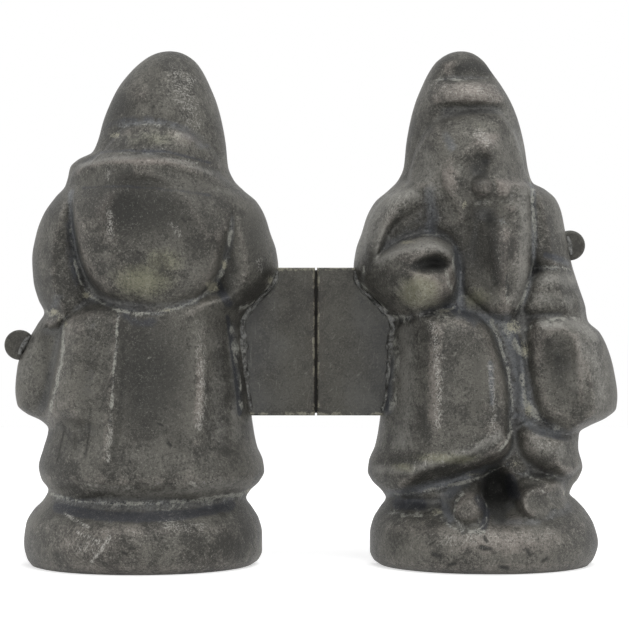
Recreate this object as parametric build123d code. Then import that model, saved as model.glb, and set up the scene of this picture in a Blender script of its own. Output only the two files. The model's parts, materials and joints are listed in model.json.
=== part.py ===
from build123d import *
import math
import os

import numpy as np

# A hinged two-part figure mold of cast pewter, lying open.
# Millimetres. X runs along the two halves, Z is up, and the outsides face -Y.
# The mating rims lie in the plane y = 0 until the whole is moved to its origin.
# Each half is drawn by its distance from the hinge pin, the back half to the left
# and the front half to the right.

# Driving sizes of the shells
figure_height = 119.6
wall = 3.0
rim_gap = 0.1

# Driving sizes of the hinge
leaf_bottom = 34.6
leaf_top = 69.0
leaf_thickness = 1.4
leaf_reach = 22.0
leaf_gap = 0.5
leaf_chamfer = 0.3
leaf_clearance = 0.15
knuckle_radius = 1.5
knuckle_gap = 0.3
knuckle_inset = 1.2
middle_knuckle_length = 12.0
web_reach = 2.6
web_behind = 0.4
pin_radius = 0.9
pin_clearance = 0.06
pin_head_overhang = 0.35
pin_head_height = 0.7
pin_head_round = 0.4

# Driving sizes of the lugs for opening the mold, which stand out past the rim
lug_radius = 3.5
lug_thickness = 2.4
lug_round = 0.7
lug_steps = 8
back_lug_stand_out = 4.8
back_lug_height = 51.0
front_lug_stand_out = 3.9
front_lug_height = 74.2

# Runs of solder, as share of the height joined and share of the full radius
leaf_solder_radius = 1.3
leaf_solder_run = [(0.02, 0.6), (0.15, 1.0), (0.35, 0.8), (0.55, 1.1), (0.8, 0.85), (0.98, 0.6)]
lug_solder_radius = 0.9
lug_solder_run = [(0.19, 0.6), (0.5, 1.0), (0.81, 0.6)]

# How finely the cast surface is followed, and how its corners are rounded
sections = 85
tip_sections = 4
points_across = 53
softening = 1
least_depth = 0.4
form_blend = 0.6
rim_round = 15.0
fine_detail_depth = 4.0
nowhere = -1000.0

# The cavity, as shares of the wall or of the outside
wear_reach = 0.7
wear_depth = 0.8
roof_share = 1.15
cavity_round = 0.85
cut_margin = 1.0

# The outline of the rim, as height above the table and distance from the pin.
# It and the lists after it are drawn for a figure as high as the outline, and are
# scaled together to the height of the figure.
hinge_side = [
    (0.0, 14.8), (1.0, 13.4), (3.0, 12.6), (7.0, 12.6), (10.5, 13.4), (13.2, 15.0),
    (15.3, 16.3), (17.0, 15.4), (19.2, 13.2), (21.5, 12.1), (24.0, 12.4), (27.5, 13.8),
    (32.0, 14.7), (40.0, 15.7), (50.0, 17.0), (55.5, 17.4), (58.5, 16.2), (62.0, 12.8),
    (65.5, 9.8), (69.0, 8.8), (73.0, 9.3), (77.2, 10.7), (81.0, 11.9), (84.5, 13.9),
    (87.0, 16.8), (89.5, 19.2), (92.5, 20.5), (98.0, 21.1), (103.5, 22.1), (107.5, 23.2),
    (111.0, 24.6), (114.7, 26.4), (117.2, 28.2), (118.8, 30.2), (119.6, 32.6)]
back_far_side = [
    (0.0, 66.4), (1.5, 67.4), (5.0, 68.1), (9.5, 67.6), (12.5, 66.0), (15.0, 63.6),
    (17.3, 62.5), (20.0, 64.0), (23.0, 64.6), (27.0, 63.5), (31.5, 62.4), (33.4, 64.2),
    (35.0, 67.6), (37.0, 69.8), (40.5, 70.3), (46.0, 69.8), (51.5, 67.6), (56.0, 65.0),
    (58.5, 63.5), (61.5, 64.8), (66.0, 66.0), (71.0, 66.3), (77.0, 65.3), (81.5, 63.6),
    (85.5, 60.8), (88.0, 58.6), (90.0, 58.0), (92.5, 57.4), (94.2, 55.6), (95.8, 52.4),
    (98.0, 51.2), (103.5, 49.6), (107.5, 48.0), (111.0, 46.2), (114.7, 43.3), (117.2, 40.6),
    (118.8, 37.9), (119.6, 35.6)]
front_far_side = [
    (0.0, 63.6), (1.5, 64.8), (5.0, 65.8), (9.0, 64.9), (12.5, 62.9), (14.8, 60.8),
    (16.3, 59.3), (18.0, 59.9), (20.0, 61.4), (22.5, 62.3), (27.0, 61.3), (30.5, 61.6),
    (32.3, 64.2), (34.2, 68.0), (36.2, 70.1), (39.0, 70.4), (45.0, 69.6), (50.0, 68.2),
    (54.0, 66.2), (56.5, 63.6), (60.0, 62.9), (64.5, 61.4), (70.0, 59.7), (77.0, 58.3),
    (82.0, 57.3), (85.0, 56.0), (87.3, 53.4), (88.8, 50.7), (91.0, 49.8), (98.0, 48.6),
    (103.5, 47.2), (107.5, 45.6), (111.0, 43.6), (114.7, 41.0), (117.2, 39.2),
    (118.8, 37.3), (119.6, 35.4)]

drawn_height = hinge_side[-1][0]
scale = figure_height / drawn_height

# How deep the plain body of each half is, as height and depth
back_depth = [
    (0.0, 24.0), (1.5, 26.2), (5.5, 27.5), (9.5, 26.6), (12.3, 23.6), (14.6, 20.6),
    (16.3, 20.0), (18.5, 21.0), (21.5, 22.4), (24.5, 22.0), (28.0, 20.2), (32.0, 17.2),
    (36.0, 14.4), (41.0, 12.2), (48.0, 11.2), (55.0, 12.0), (60.0, 13.0), (70.0, 13.4),
    (84.0, 14.0), (93.0, 14.4), (101.0, 14.3), (107.0, 13.2), (112.0, 11.2), (116.0, 8.4),
    (118.6, 4.6), (119.6, 2.0)]
front_depth = [
    (0.0, 22.4), (1.5, 24.8), (5.5, 26.0), (9.0, 24.8), (11.8, 21.0), (14.0, 16.0),
    (16.0, 13.0), (19.0, 12.0), (24.0, 12.0), (30.0, 11.5), (45.0, 11.0), (57.0, 11.0),
    (70.0, 11.0), (84.0, 11.5), (93.0, 12.5), (101.0, 13.0), (107.0, 12.6), (112.0, 10.8),
    (116.0, 8.4), (118.6, 4.6), (119.6, 2.0)]

# How square the plain body is across, as height and power, where 2 is an ellipse
back_squareness = [
    (0.0, 2.0), (10.0, 2.0), (15.0, 2.2), (22.0, 2.9), (50.0, 2.9), (60.0, 2.4), (90.0, 2.1),
    (119.6, 2.0)]
front_squareness = [
    (0.0, 2.0), (10.0, 2.0), (15.0, 2.2), (22.0, 2.4), (50.0, 2.4), (60.0, 2.2), (90.0, 2.0),
    (119.6, 2.0)]

# Raised forms on the back half: outline as distance from the pin and height,
# depth at the foot of its edge, depth of its top, width of its rounded edge
back_forms = {
    "coat": ([(4, 62), (4, 15), (66, 15), (63, 30), (61.6, 37), (59, 50), (57, 60), (37, 64)],
             10.0, 20.3, 7.5),
    "hinge_arm": ([(20.6, 87.8), (20.6, 81.6), (22.0, 73.6), (23.6, 66.7), (21.6, 61.0),
                   (17.4, 58.2), (13.3, 59.8), (10.0, 64.0), (5, 69), (5, 85), (15, 89.6)],
                  10.0, 14.4, 5.5),
    "far_arm": ([(54.2, 87.3), (54.4, 81.6), (53.8, 73.6), (51.6, 65.6), (51.4, 59.4),
                 (56.3, 55.6), (60.9, 54.8), (66.5, 57.6), (69, 71), (67.6, 85), (60.9, 90.6)],
                10.0, 13.8, 5.5),
    "collar": ([(48.8, 95.5), (46.1, 98.7), (42.0, 101.2), (37.5, 102.1), (32.5, 101.2),
                (27.3, 98.7), (23.1, 94.9), (20.8, 91.0), (37.5, 88.0), (53.4, 90.9)],
               13.6, 16.6, 2.5),
    "basket": ([(55.4, 90.9), (55.6, 84.6), (54.9, 75.6), (52.0, 65.9), (46.4, 60.7),
                (37.4, 58.0), (28.4, 60.1), (22.7, 65.2), (19.8, 75.6), (18.9, 83.5),
                (19.4, 89.1), (28.4, 92.9), (37.4, 94.0), (48.6, 93.1)],
               14.0, 21.5, 9.0),
    "basket_lip": ([(57.0, 90.9), (52.0, 92.9), (46.4, 93.7), (37.4, 94.1), (28.4, 92.7),
                    (21.6, 90.0), (18.4, 87.7), (18.8, 84.6), (26.1, 85.9), (37.4, 87.7),
                    (48.6, 87.3), (56.4, 86.2)],
                   17.5, 23.2, 2.8)}

# Raised forms on the front half, in the same terms
front_forms = {
    "hood": ([(20.2, 86.6), (25.4, 83.4), (25.9, 77.0), (32.5, 73.0), (32.9, 63.0),
              (37.2, 60.3), (41.5, 56.2), (45.6, 56.6), (48.2, 63.0), (50.0, 69.8),
              (49.8, 80.2), (49.4, 86.8), (46.0, 101.6), (36.8, 107.1), (24.9, 101.4)],
             10.0, 15.6, 8.0),
    "face": ([(27.8, 92.5), (31.0, 95.8), (36.4, 98.6), (41.6, 98.0), (44.7, 91.2),
              (44.7, 84.4), (40.9, 83.1), (35.0, 83.1), (32.8, 79.2), (30.7, 82.2),
              (28.0, 87.8)],
             14.5, 17.6, 3.5),
    "nose": ([(35.2, 88.9), (37.4, 89.6), (39.6, 88.6), (40.2, 85.8), (37.4, 83.9), (34.6, 85.8)],
             16.4, 20.4, 2.2),
    "beard": ([(32.7, 80.1), (35.6, 83.2), (40.8, 83.2), (46.0, 81.9), (48.7, 77.6),
               (48.3, 69.3), (44.9, 58.0), (42.2, 57.1), (37.0, 64.1), (32.7, 69.3)],
              12.0, 20.5, 8.6),
    "upper_arm": ([(5.5, 58.0), (6.0, 80.2), (15.8, 88.2), (21.5, 88.7), (25.6, 84.8),
                   (25.0, 82.5), (19.8, 80.4), (16.2, 77.0), (15.0, 72.5), (13.4, 66.0), (12.0, 59.0)],
                  9.0, 13.4, 5.0),
    "hand": ([(12.9, 70.2), (17.2, 73.6), (21.7, 75.8), (27.1, 77.0), (31.9, 73.6),
              (32.8, 68.6), (32.3, 63.0), (28.7, 59.3), (19.9, 57.1), (14.0, 59.3),
              (10.6, 63.4)],
             10.5, 20.0, 8.0),
    "far_arm": ([(48.0, 85.9), (48.2, 80.2), (48.8, 68.4), (59.3, 67.6), (63, 70.2), (62, 86),
                 (51.3, 89.2)],
                9.5, 12.8, 3.0),
    "cuff": ([(46.7, 60.7), (50.2, 68.1), (53.6, 69.0), (61.6, 68.5), (64.2, 58.5),
              (58.2, 56.8), (48.3, 57.0)],
             9.8, 13.6, 4.0),
    "bag": ([(47.9, 57.1), (52.0, 58.0), (60.6, 58.3), (66.5, 54.9), (73, 41.4), (73, 36),
             (61.1, 31.2), (55.4, 30.7), (50.4, 34.6), (48.1, 47.1)],
            9.2, 15.5, 4.5),
    "coat_panel": ([(18.1, 55.7), (17.2, 44.9), (16.3, 35.4), (8.9, 30.1), (7.8, 18.6),
                    (17.9, 18.0), (25.3, 20.4), (34.6, 23.0), (41.5, 26.4), (44.2, 30.8),
                    (44.3, 38.1), (43.4, 44.0), (41.1, 51.7), (39.3, 55.7), (34.8, 59.0),
                    (24.8, 59.0)],
                   11.5, 18.6, 7.0),
    "hem": ([(12.1, 23.1), (17.9, 22.7), (25.4, 24.5), (34.7, 27.0), (41.8, 30.8),
             (45.0, 31.2), (43.9, 25.6), (36.0, 21.6), (25.9, 18.6), (16.3, 16.0), (9.4, 17.5)],
            10.5, 16.2, 3.5),
    "knee": ([(45.2, 32.0), (48.6, 33.9), (55.4, 31.6), (60.8, 28.8), (63, 23.9),
              (57.5, 20.4), (52, 21.6), (46.0, 25.6)],
             8.5, 14.6, 4.5),
    "ankle": ([(28, 20), (38.5, 21.5), (38.5, 12), (28, 10)], 9.0, 15.5, 3.0),
    "far_ankle": ([(45, 22), (57, 21), (58, 12), (45, 12)], 9.0, 15.0, 3.0),
    "shoe": ([(29.8, 14.2), (31.4, 17.6), (34.3, 18.6), (37.4, 17.4), (38.8, 14.0),
              (37.4, 10.6), (34.3, 9.4), (31.2, 10.6)],
             15.0, 24.4, 4.4),
    "far_shoe": ([(45.0, 15.4), (46.4, 18.4), (49.3, 19.6), (52.4, 18.6), (54.0, 15.4),
                  (52.6, 12.0), (49.3, 10.8), (46.2, 12.0)],
                 14.0, 22.0, 4.2)}

# Tilts of some tops: rise per mm across, rise per mm up, and the level place
tilts = {
    "coat": (0, -0.075, 0, 45),
    "collar": (0, -0.42, 0, 99),
    "basket": (0, 0.05, 0, 80),
    "bag": (0, 0.10, 0, 45),
    "hem": (0, 0.5, 0, 23),
    "coat_panel": (-0.07, -0.04, 26, 45)}
roofed_forms = ("beard",)
wide_blends = {"coat": 4.0, "hem": 1.2}

# Long soft ridges and creases: points as distance and height, width, rise
back_lines = [
    ([(57, 90.2), (50, 92.2), (43, 93.0), (36, 92.8), (29, 91.4), (22, 88.6)], 1.3, 0.9),
    ([(34.4, 116), (33.4, 108), (31.6, 99)], 2.6, 0.6),
    ([(57, 85.8), (50, 86.6), (43, 87.2), (36, 87.0), (29, 86.2), (21, 83.8)], 1.4, -0.35),
    ([(46.5, 87), (46, 77), (43, 67)], 2.4, 0.5),
    ([(44.8, 57), (46.2, 40), (47.2, 26)], 0.9, 0.9),
    ([(49.5, 55), (50.5, 42), (51.0, 32)], 2.4, -0.5),
    ([(25.5, 54), (25.8, 40), (27, 30)], 2.6, 1.1),
    ([(36, 54), (37, 30)], 5.0, -0.6),
    ([(53.5, 32), (54.5, 25)], 0.6, -0.4)]
front_lines = [
    ([(16, 22.0), (26, 24.2), (35, 26.8), (41.5, 30.2)], 1.4, 0.7),
    ([(32.8, 79.4), (35, 82.8), (40.8, 83.2), (44.6, 82)], 0.8, 0.8),
    ([(59.2, 53), (60.2, 38.5)], 0.9, 0.7),
    ([(26.2, 53), (26.4, 44), (26.8, 34)], 2.4, 1.0),
    ([(46, 53), (47.4, 45), (47, 34)], 0.8, 1.2),
    ([(60.6, 62), (60.6, 58)], 1.2, 0.8)]

# Rounded bumps and pits: distance, height, half width, half height, tilt in degrees,
# power of the fall, rise
back_bumps = []
front_bumps = [
    (36.5, 108.6, 8.5, 2.6, 0, 2.0, 1.3), (38.9, 96.6, 3.0, 2.0, 0, 2.0, 0.9),
    (36.8, 91.6, 3.0, 2.6, 0, 3.0, -1.3), (38.7, 93.0, 1.2, 1.0, 0, 2.0, -1.4),
    (32.2, 92.0, 1.4, 1.0, 0, 2.0, -0.7), (42.2, 86.8, 2.2, 2.2, 0, 2.0, 0.9),
    (30.6, 87.4, 2.2, 2.6, 0, 2.0, 0.8), (24.6, 69.3, 2.8, 1.5, -12, 2.6, -3.6),
    (27.8, 69.8, 2.5, 1.9, 14, 2.6, -4.6), (37.4, 74.2, 4.0, 8.6, 4, 3.0, -2.2),
    (55.2, 45.6, 4.6, 8.2, -6, 2.4, -3.0), (41.4, 17.2, 3.5, 5.4, -8, 4.0, -6.0),
    (21.4, 15.8, 3.6, 1.3, 0, 3.0, -3.5)]

# Ledges: distance, height of the sharp edge, half width, reach of the slope up from it
# or, where negative, down from it, drop
back_ledges = []
front_ledges = [(33.6, 112.2, 6.0, 4.6, 1.7), (35.0, 105.6, 7.0, -7.2, 2.4)]
ledge_edge = 0.7


def smooth_curve(points, at):
    """Monotone cubic curve through the points, read at the given heights."""
    x, y = np.array(points, float).T
    step = np.diff(x)
    slope = np.diff(y) / step
    before, after = slope[:-1], slope[1:]
    weight_a = 2 * step[1:] + step[:-1]
    weight_b = step[1:] + 2 * step[:-1]
    level = before * after <= 0
    spread = weight_a / np.where(level, 1, before) + weight_b / np.where(level, 1, after)
    tangent = np.zeros(len(x))
    tangent[1:-1] = np.where(level, 0, (weight_a + weight_b) / np.where(level, 1, spread))
    tangent[0], tangent[-1] = slope[0], slope[-1]
    at = np.clip(at, x[0], x[-1])
    i = np.clip(np.searchsorted(x, at) - 1, 0, len(step) - 1)
    t = (at - x[i]) / step[i]
    rise = 3 * t ** 2 - 2 * t ** 3
    return (y[i] + rise * (y[i + 1] - y[i])
            + step[i] * (t * (1 - t) ** 2 * tangent[i] - t ** 2 * (1 - t) * tangent[i + 1]))


def smooth_high(a, b, blend):
    """The higher of two surfaces, with the crease between them rounded."""
    return np.maximum(a, b) + np.clip(blend - np.abs(a - b), 0, None) ** 2 / (4 * blend)


def smooth_low(a, b, blend):
    """The lower of two surfaces, with the edge between them rounded."""
    return -smooth_high(-a, -b, blend)


def rounded_outline(points):
    """An outline with its corners cut twice, which leaves them round."""
    corners = np.array(points, float)
    for _ in range(2):
        following = np.roll(corners, -1, axis=0)
        cut = np.stack([0.75 * corners + 0.25 * following, 0.25 * corners + 0.75 * following], 1)
        corners = cut.reshape(-1, 2)
    return corners


def distance_inside(across, height, outline):
    """Distance from each point to the outline, positive inside it."""
    nearest = np.full(across.shape, np.inf)
    within = np.zeros(across.shape, bool)
    for (u0, z0), (u1, z1) in zip(outline, np.roll(outline, -1, axis=0)):
        du, dz = u1 - u0, z1 - z0
        along = ((across - u0) * du + (height - z0) * dz) / (du ** 2 + dz ** 2)
        along = np.clip(along, 0, 1)
        gap = (across - u0 - along * du) ** 2 + (height - z0 - along * dz) ** 2
        nearest = np.minimum(nearest, gap)
        crosses = (z0 > height) != (z1 > height)
        crossing = u0 + (height - z0) * du / (dz if dz else 1e-9)
        within ^= crosses & (across < crossing)
    return np.where(within, 1, -1) * np.sqrt(nearest)


def tilted_form(name, across, height, form):
    """One raised form with a quarter-round or a sloping edge, and a top that may tilt."""
    outline, foot, top, edge_width = form
    inside = distance_inside(across, height, rounded_outline(outline))
    climb = np.clip(inside / edge_width, 0, 1)
    profile = climb if name in roofed_forms else np.sqrt(np.clip(1 - (1 - climb) ** 2, 0, None))
    per_across, per_up, level_across, level_up = tilts.get(name, (0, 0, 0, 0))
    top = top + per_across * (across - level_across) + per_up * (height - level_up)
    return np.where(inside > 0, foot + (top - foot) * profile, nowhere)


def near_line(across, height, points, width):
    """One beside a line of points, falling away as a bell curve of the distance from it."""
    nearest = np.full(across.shape, np.inf)
    for (u0, z0), (u1, z1) in zip(points, points[1:]):
        du, dz = u1 - u0, z1 - z0
        along = np.clip(((across - u0) * du + (height - z0) * dz) / (du ** 2 + dz ** 2), 0, 1)
        gap = (across - u0 - along * du) ** 2 + (height - z0 - along * dz) ** 2
        nearest = np.minimum(nearest, gap)
    return np.exp(-nearest / width ** 2)


def near_point(across, height, spot):
    """One at a point, falling away as a bell curve over a tilted ellipse."""
    u, z, half_width, half_height, tilt, power = spot
    cos, sin = math.cos(math.radians(tilt)), math.sin(math.radians(tilt))
    up = ((across - u) * sin + (height - z) * cos) / half_height
    aside = ((across - u) * cos - (height - z) * sin) / half_width
    return np.exp(-(up ** 2 + aside ** 2) ** (power / 2))


def near_ledge(across, height, ledge):
    """One at a sharp level edge, nought just past it, and a straight slope to nought on its other side."""
    u, z, half_width, reach = ledge
    beyond = (height - z) * math.copysign(1, reach)
    slope = np.clip(1 - beyond / abs(reach), 0, 1) * np.clip(1 + beyond / ledge_edge, 0, 1)
    return slope * np.exp(-((across - u) / half_width) ** 4)


def relief(across, height, half):
    """Depth of the outside: a squared ellipse across, the raised forms on it, then lines and bumps."""
    far_side, depth, squareness, forms, lines, bumps, ledges = half
    near = smooth_curve(hinge_side, height)
    far = smooth_curve(far_side, height)
    place = np.abs(2 * across - near - far) / (far - near)
    fall = np.clip(1 - place ** smooth_curve(squareness, height), 0, None)
    surface = smooth_curve(depth, height) * np.sqrt(fall)
    from_rim = np.clip(np.minimum(across - near, far - across), 0, None)
    rim_limit = np.sqrt(2 * rim_round * from_rim)
    for name, form in forms.items():
        raised = smooth_low(tilted_form(name, across, height, form), rim_limit, form_blend)
        surface = smooth_high(surface, raised, wide_blends.get(name, form_blend))
    finer = np.zeros(across.shape)
    for points, width, rise in lines:
        finer = finer + rise * near_line(across, height, points, width)
    for *spot, rise in bumps:
        finer = finer + rise * near_point(across, height, spot)
    for *ledge, drop in ledges:
        finer = finer - drop * near_ledge(across, height, ledge)
    return surface + finer * np.clip(surface / fine_detail_depth - 1, 0, 1)


def cavity_relief(across, height, half):
    """Depth of the cavity: the outside, worn down evenly by the wall."""
    reach = wear_reach * drawn_wall
    lowest = relief(across, height, half)
    for turn in range(8):
        angle = turn * math.pi / 4
        aside = across + reach * math.cos(angle)
        above = np.clip(height + reach * math.sin(angle), 0, drawn_height)
        lowest = np.minimum(lowest, relief(aside, above, half))
    return lowest - wear_depth * drawn_wall


back_half = (back_far_side, back_depth, back_squareness, back_forms, back_lines, back_bumps,
             back_ledges)
front_half = (front_far_side, front_depth, front_squareness, front_forms, front_lines, front_bumps,
              front_ledges)
drawn_wall = wall / scale
drawn_rim_gap = rim_gap / scale


def across_section(near, far):
    """Distances from the pin, closest together next to the rim."""
    turn = np.linspace(0, math.pi, points_across)
    return (near + far)[:, None] / 2 - (far - near)[:, None] / 2 * np.cos(turn)


def softened(depth):
    """Depths averaged with their neighbours along and across, as a cast surface is soft."""
    for _ in range(softening):
        depth[1:-1] = (depth[:-2] + 2 * depth[1:-1] + depth[2:]) / 4
        depth[:, 1:-1] = (depth[:, :-2] + 2 * depth[:, 1:-1] + depth[:, 2:]) / 4
    return depth


def spline(side, across, depth, height):
    """One smooth curve across a half at one height."""
    curve = [(side * u * scale, -d * scale, height * scale) for u, d in zip(across, depth)]
    knots = [i / (len(curve) - 1) for i in range(len(curve))]
    return Edge.make_spline(curve, parameters=knots)


def outside_rows(half, heights):
    """Distance from the pin and depth of the outside, row by row."""
    across = across_section(smooth_curve(hinge_side, heights), smooth_curve(half[0], heights))
    depth = relief(across, np.repeat(heights[:, None], points_across, 1), half)
    depth = np.maximum(depth, least_depth)
    depth[:, [0, -1]] = drawn_rim_gap
    return across, softened(depth)


def cavity_rows(half, heights):
    """Distance from the pin and depth of the hollow, row by row."""
    far_both = np.minimum(smooth_curve(back_far_side, heights), smooth_curve(front_far_side, heights))
    near = smooth_curve(hinge_side, heights) + drawn_wall
    far = far_both - drawn_wall
    across = across_section(near, far)
    deepest = cavity_relief(across, np.repeat(heights[:, None], points_across, 1), half)
    from_rim = np.clip(np.minimum(across - near[:, None], far[:, None] - across), 0, None)
    rim_limit = cavity_round * np.sqrt(2 * rim_round * from_rim)
    depth = smooth_low(np.maximum(deepest, least_depth), rim_limit, form_blend)
    depth = np.maximum(depth, drawn_rim_gap)
    depth[:, [0, -1]] = drawn_rim_gap
    return across, softened(depth)


def shell(side, half):
    """One cast half: walls round an open foot, under a solid tip."""
    wall_heights, tip_heights = row_heights()
    heights = np.concatenate([wall_heights, tip_heights[1:]])
    outside = [spline(side, u, d, z) for u, d, z in zip(*outside_rows(half, heights), heights)]
    inside = [spline(side, u, d, z) for u, d, z in zip(*cavity_rows(half, wall_heights), wall_heights)]
    rings = []
    for outer, inner in zip(outside, inside):
        near_rim = Edge.make_line(inner @ 0, outer @ 0)
        far_rim = Edge.make_line(outer @ 1, inner @ 1)
        rings.append(Wire([outer, far_rim, inner, near_rim]))
    tips = [Wire([outer, Edge.make_line(outer @ 1, outer @ 0)]) for outer in outside[sections - 1:]]
    return Solid.make_loft(rings) + Solid.make_loft(tips)


def slab(x_range, y_range, z_range):
    """A plain block between the given limits."""
    lengths = [high - low for low, high in (x_range, y_range, z_range)]
    corner = [low for low, high in (x_range, y_range, z_range)]
    return Solid.make_box(*lengths, Plane(origin=tuple(corner)))


def row_heights():
    """Drawn heights of the rows round the cavity, and of those in the solid tip."""
    roof = drawn_height - roof_share * drawn_wall
    return np.linspace(0, roof, sections), np.linspace(roof, drawn_height, tip_sections)


def surface_distance(rows, height, depth):
    """Distance from the pin at which the hinge side of a half is this deep."""
    across, depths, heights = rows
    place = np.interp(height / scale, heights, np.arange(len(heights)))
    below = int(place)
    share = place - below
    reached = []
    for row in (below, below + 1):
        rising = np.maximum.accumulate(depths[row][:points_across // 2])
        reached.append(np.interp(depth / scale, rising, across[row][:points_across // 2]))
    return float((1 - share) * reached[0] + share * reached[1]) * scale


def leaf(side, beside):
    """A flat leaf from the pin to the shell, on the outer side of the knuckles."""
    inner_face = knuckle_radius + leaf_clearance
    plate = slab(sorted((side * leaf_gap / 2, side * leaf_reach)),
                 (-inner_face - leaf_thickness, -inner_face), (leaf_bottom, leaf_top))
    shown = plate.faces().sort_by(Axis.Y)[0].edges().sort_by(Axis.X)
    plate = plate.chamfer(leaf_chamfer, None, shown[1:] if side < 0 else shown[:-1])
    return min((plate - beside).solids(), key=lambda piece: abs(piece.center().X))


def knuckle(side, low, high):
    """A bored knuckle with the flat web that joins it to the back of its leaf."""
    length = high - low
    barrel = Solid.make_cylinder(knuckle_radius, length, Plane(origin=(0, 0, low)))
    web = slab(sorted((side * leaf_gap / 2, side * web_reach)),
               (-knuckle_radius - leaf_clearance, -web_behind), (low, high))
    bore = Solid.make_cylinder(pin_radius + pin_clearance, length + 2 * cut_margin,
                               Plane(origin=(0, 0, low - cut_margin)))
    return barrel + web - bore


def hinge_pin(low, high):
    """A plain pin, peened over at both ends."""
    body = Solid.make_cylinder(pin_radius, high - low, Plane(origin=(0, 0, low)))
    for start, outer_edge in ((low - pin_head_height, 0), (high, -1)):
        head = Solid.make_cylinder(pin_radius + pin_head_overhang, pin_head_height,
                                   Plane(origin=(0, 0, start)))
        body = body + head.fillet(pin_head_round, [head.edges().sort_by(Axis.Z)[outer_edge]])
    return body


def solder_bead(centres, radius, run, plain_pieces):
    """A run of solder along the centres, cut back to what it joins."""
    circles = []
    for centre, (_, swell) in zip(centres, run):
        circles.append(Wire.make_circle(radius * swell, Plane(origin=centre)))
    bead = Solid.make_loft(circles)
    for piece in plain_pieces:
        bead = bead - piece
    return max(bead.solids(), key=lambda piece: piece.volume)


def leaf_solder(side, rows, beside, plate):
    """The run of solder in the corner between a leaf and its shell."""
    depth = knuckle_radius + leaf_clearance + leaf_thickness
    centres = []
    for share, _ in leaf_solder_run:
        height = leaf_bottom + share * (leaf_top - leaf_bottom)
        centres.append((side * surface_distance(rows, height, depth), -depth, height))
    return solder_bead(centres, leaf_solder_radius, leaf_solder_run, (beside, plate))


def rim_distance(far_side, height):
    """Distance from the pin to the far side of the rim."""
    return float(smooth_curve(far_side, height / scale)) * scale


def opening_lug(side, far_side, stand_out, height, beside):
    """A round flat tab on the far side, for prising the halves apart."""
    centre = rim_distance(far_side, height) + stand_out - lug_radius
    plane = Plane(origin=(side * centre, -2 * rim_gap, height), z_dir=(0, -1, 0))
    disc = Solid.make_cylinder(lug_radius, lug_thickness, plane)
    disc = disc.fillet(lug_round, disc.edges().filter_by(GeomType.CIRCLE))
    pieces = (disc - beside).solids()
    return max(pieces, key=lambda piece: abs(piece.center().X))


def lug_solder(side, far_side, height, beside, lug):
    """The solder round the root of a lug."""
    centres = []
    for share, _ in lug_solder_run:
        level = height + (2 * share - 1) * lug_radius
        centres.append((side * rim_distance(far_side, level), -2 * rim_gap - lug_thickness, level))
    return solder_bead(centres, lug_solder_radius, lug_solder_run, (beside, lug))


def build():
    """Every piece of the mold, by name."""
    pieces = {}
    pieces["back_shell"] = shell(-1, back_half)
    pieces["front_shell"] = shell(1, front_half)

    low = leaf_bottom + knuckle_inset
    high = leaf_top - knuckle_inset
    middle = (low + high) / 2
    split_low = middle - middle_knuckle_length / 2
    split_high = middle + middle_knuckle_length / 2
    pieces["back_lower_knuckle"] = knuckle(-1, low, split_low - knuckle_gap)
    pieces["front_middle_knuckle"] = knuckle(1, split_low, split_high)
    pieces["back_upper_knuckle"] = knuckle(-1, split_high + knuckle_gap, high)
    pieces["hinge_pin"] = hinge_pin(low, high)

    heights = np.concatenate(row_heights())
    for name, side, half in (("back", -1, back_half), ("front", 1, front_half)):
        rows = (*outside_rows(half, np.unique(heights)), np.unique(heights))
        beside = pieces[name + "_shell"]
        pieces[name + "_hinge_leaf"] = leaf(side, beside)
        pieces[name + "_leaf_solder"] = leaf_solder(side, rows, beside, pieces[name + "_hinge_leaf"])
    lugs = (("back", -1, back_far_side, back_lug_stand_out, back_lug_height),
            ("front", 1, front_far_side, front_lug_stand_out, front_lug_height))
    for name, side, far_side, stand_out, height in lugs:
        beside = pieces[name + "_shell"]
        lug = opening_lug(side, far_side, stand_out, height, beside)
        pieces[name + "_opening_lug"] = lug
        pieces[name + "_lug_solder"] = lug_solder(side, far_side, height, beside, lug)
    return pieces


def main():
    os.makedirs("parts", exist_ok=True)
    pieces = build()
    boxes = [piece.bounding_box() for piece in pieces.values()]
    middle_x = (min(box.min.X for box in boxes) + max(box.max.X for box in boxes)) / 2
    middle_y = (min(box.min.Y for box in boxes) + max(box.max.Y for box in boxes)) / 2
    foot = min(box.min.Z for box in boxes)
    shift = Vector(-middle_x, -middle_y, -foot)
    print("hinge axis at", shift)
    for name, piece in pieces.items():
        export_step(piece.moved(Location(shift)), f"parts/{name}.step")


main()
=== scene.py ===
import functools
import json
import math
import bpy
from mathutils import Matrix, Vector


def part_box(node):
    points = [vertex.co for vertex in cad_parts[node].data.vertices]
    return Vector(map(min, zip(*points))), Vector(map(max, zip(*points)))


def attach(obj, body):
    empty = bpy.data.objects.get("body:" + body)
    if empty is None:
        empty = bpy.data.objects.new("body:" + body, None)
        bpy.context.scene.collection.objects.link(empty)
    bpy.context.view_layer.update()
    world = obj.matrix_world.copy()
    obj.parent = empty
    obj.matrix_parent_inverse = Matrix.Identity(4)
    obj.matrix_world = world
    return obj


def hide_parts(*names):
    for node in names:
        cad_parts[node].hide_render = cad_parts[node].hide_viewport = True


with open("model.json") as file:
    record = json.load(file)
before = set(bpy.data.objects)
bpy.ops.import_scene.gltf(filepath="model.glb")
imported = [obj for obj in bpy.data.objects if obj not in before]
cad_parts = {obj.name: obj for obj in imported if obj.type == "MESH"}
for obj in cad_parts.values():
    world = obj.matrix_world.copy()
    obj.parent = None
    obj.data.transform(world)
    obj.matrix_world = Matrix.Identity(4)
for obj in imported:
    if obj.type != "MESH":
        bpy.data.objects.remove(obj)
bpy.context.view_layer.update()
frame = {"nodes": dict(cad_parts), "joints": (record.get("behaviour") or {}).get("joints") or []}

from types import SimpleNamespace

import bpy
import numpy as np

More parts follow.
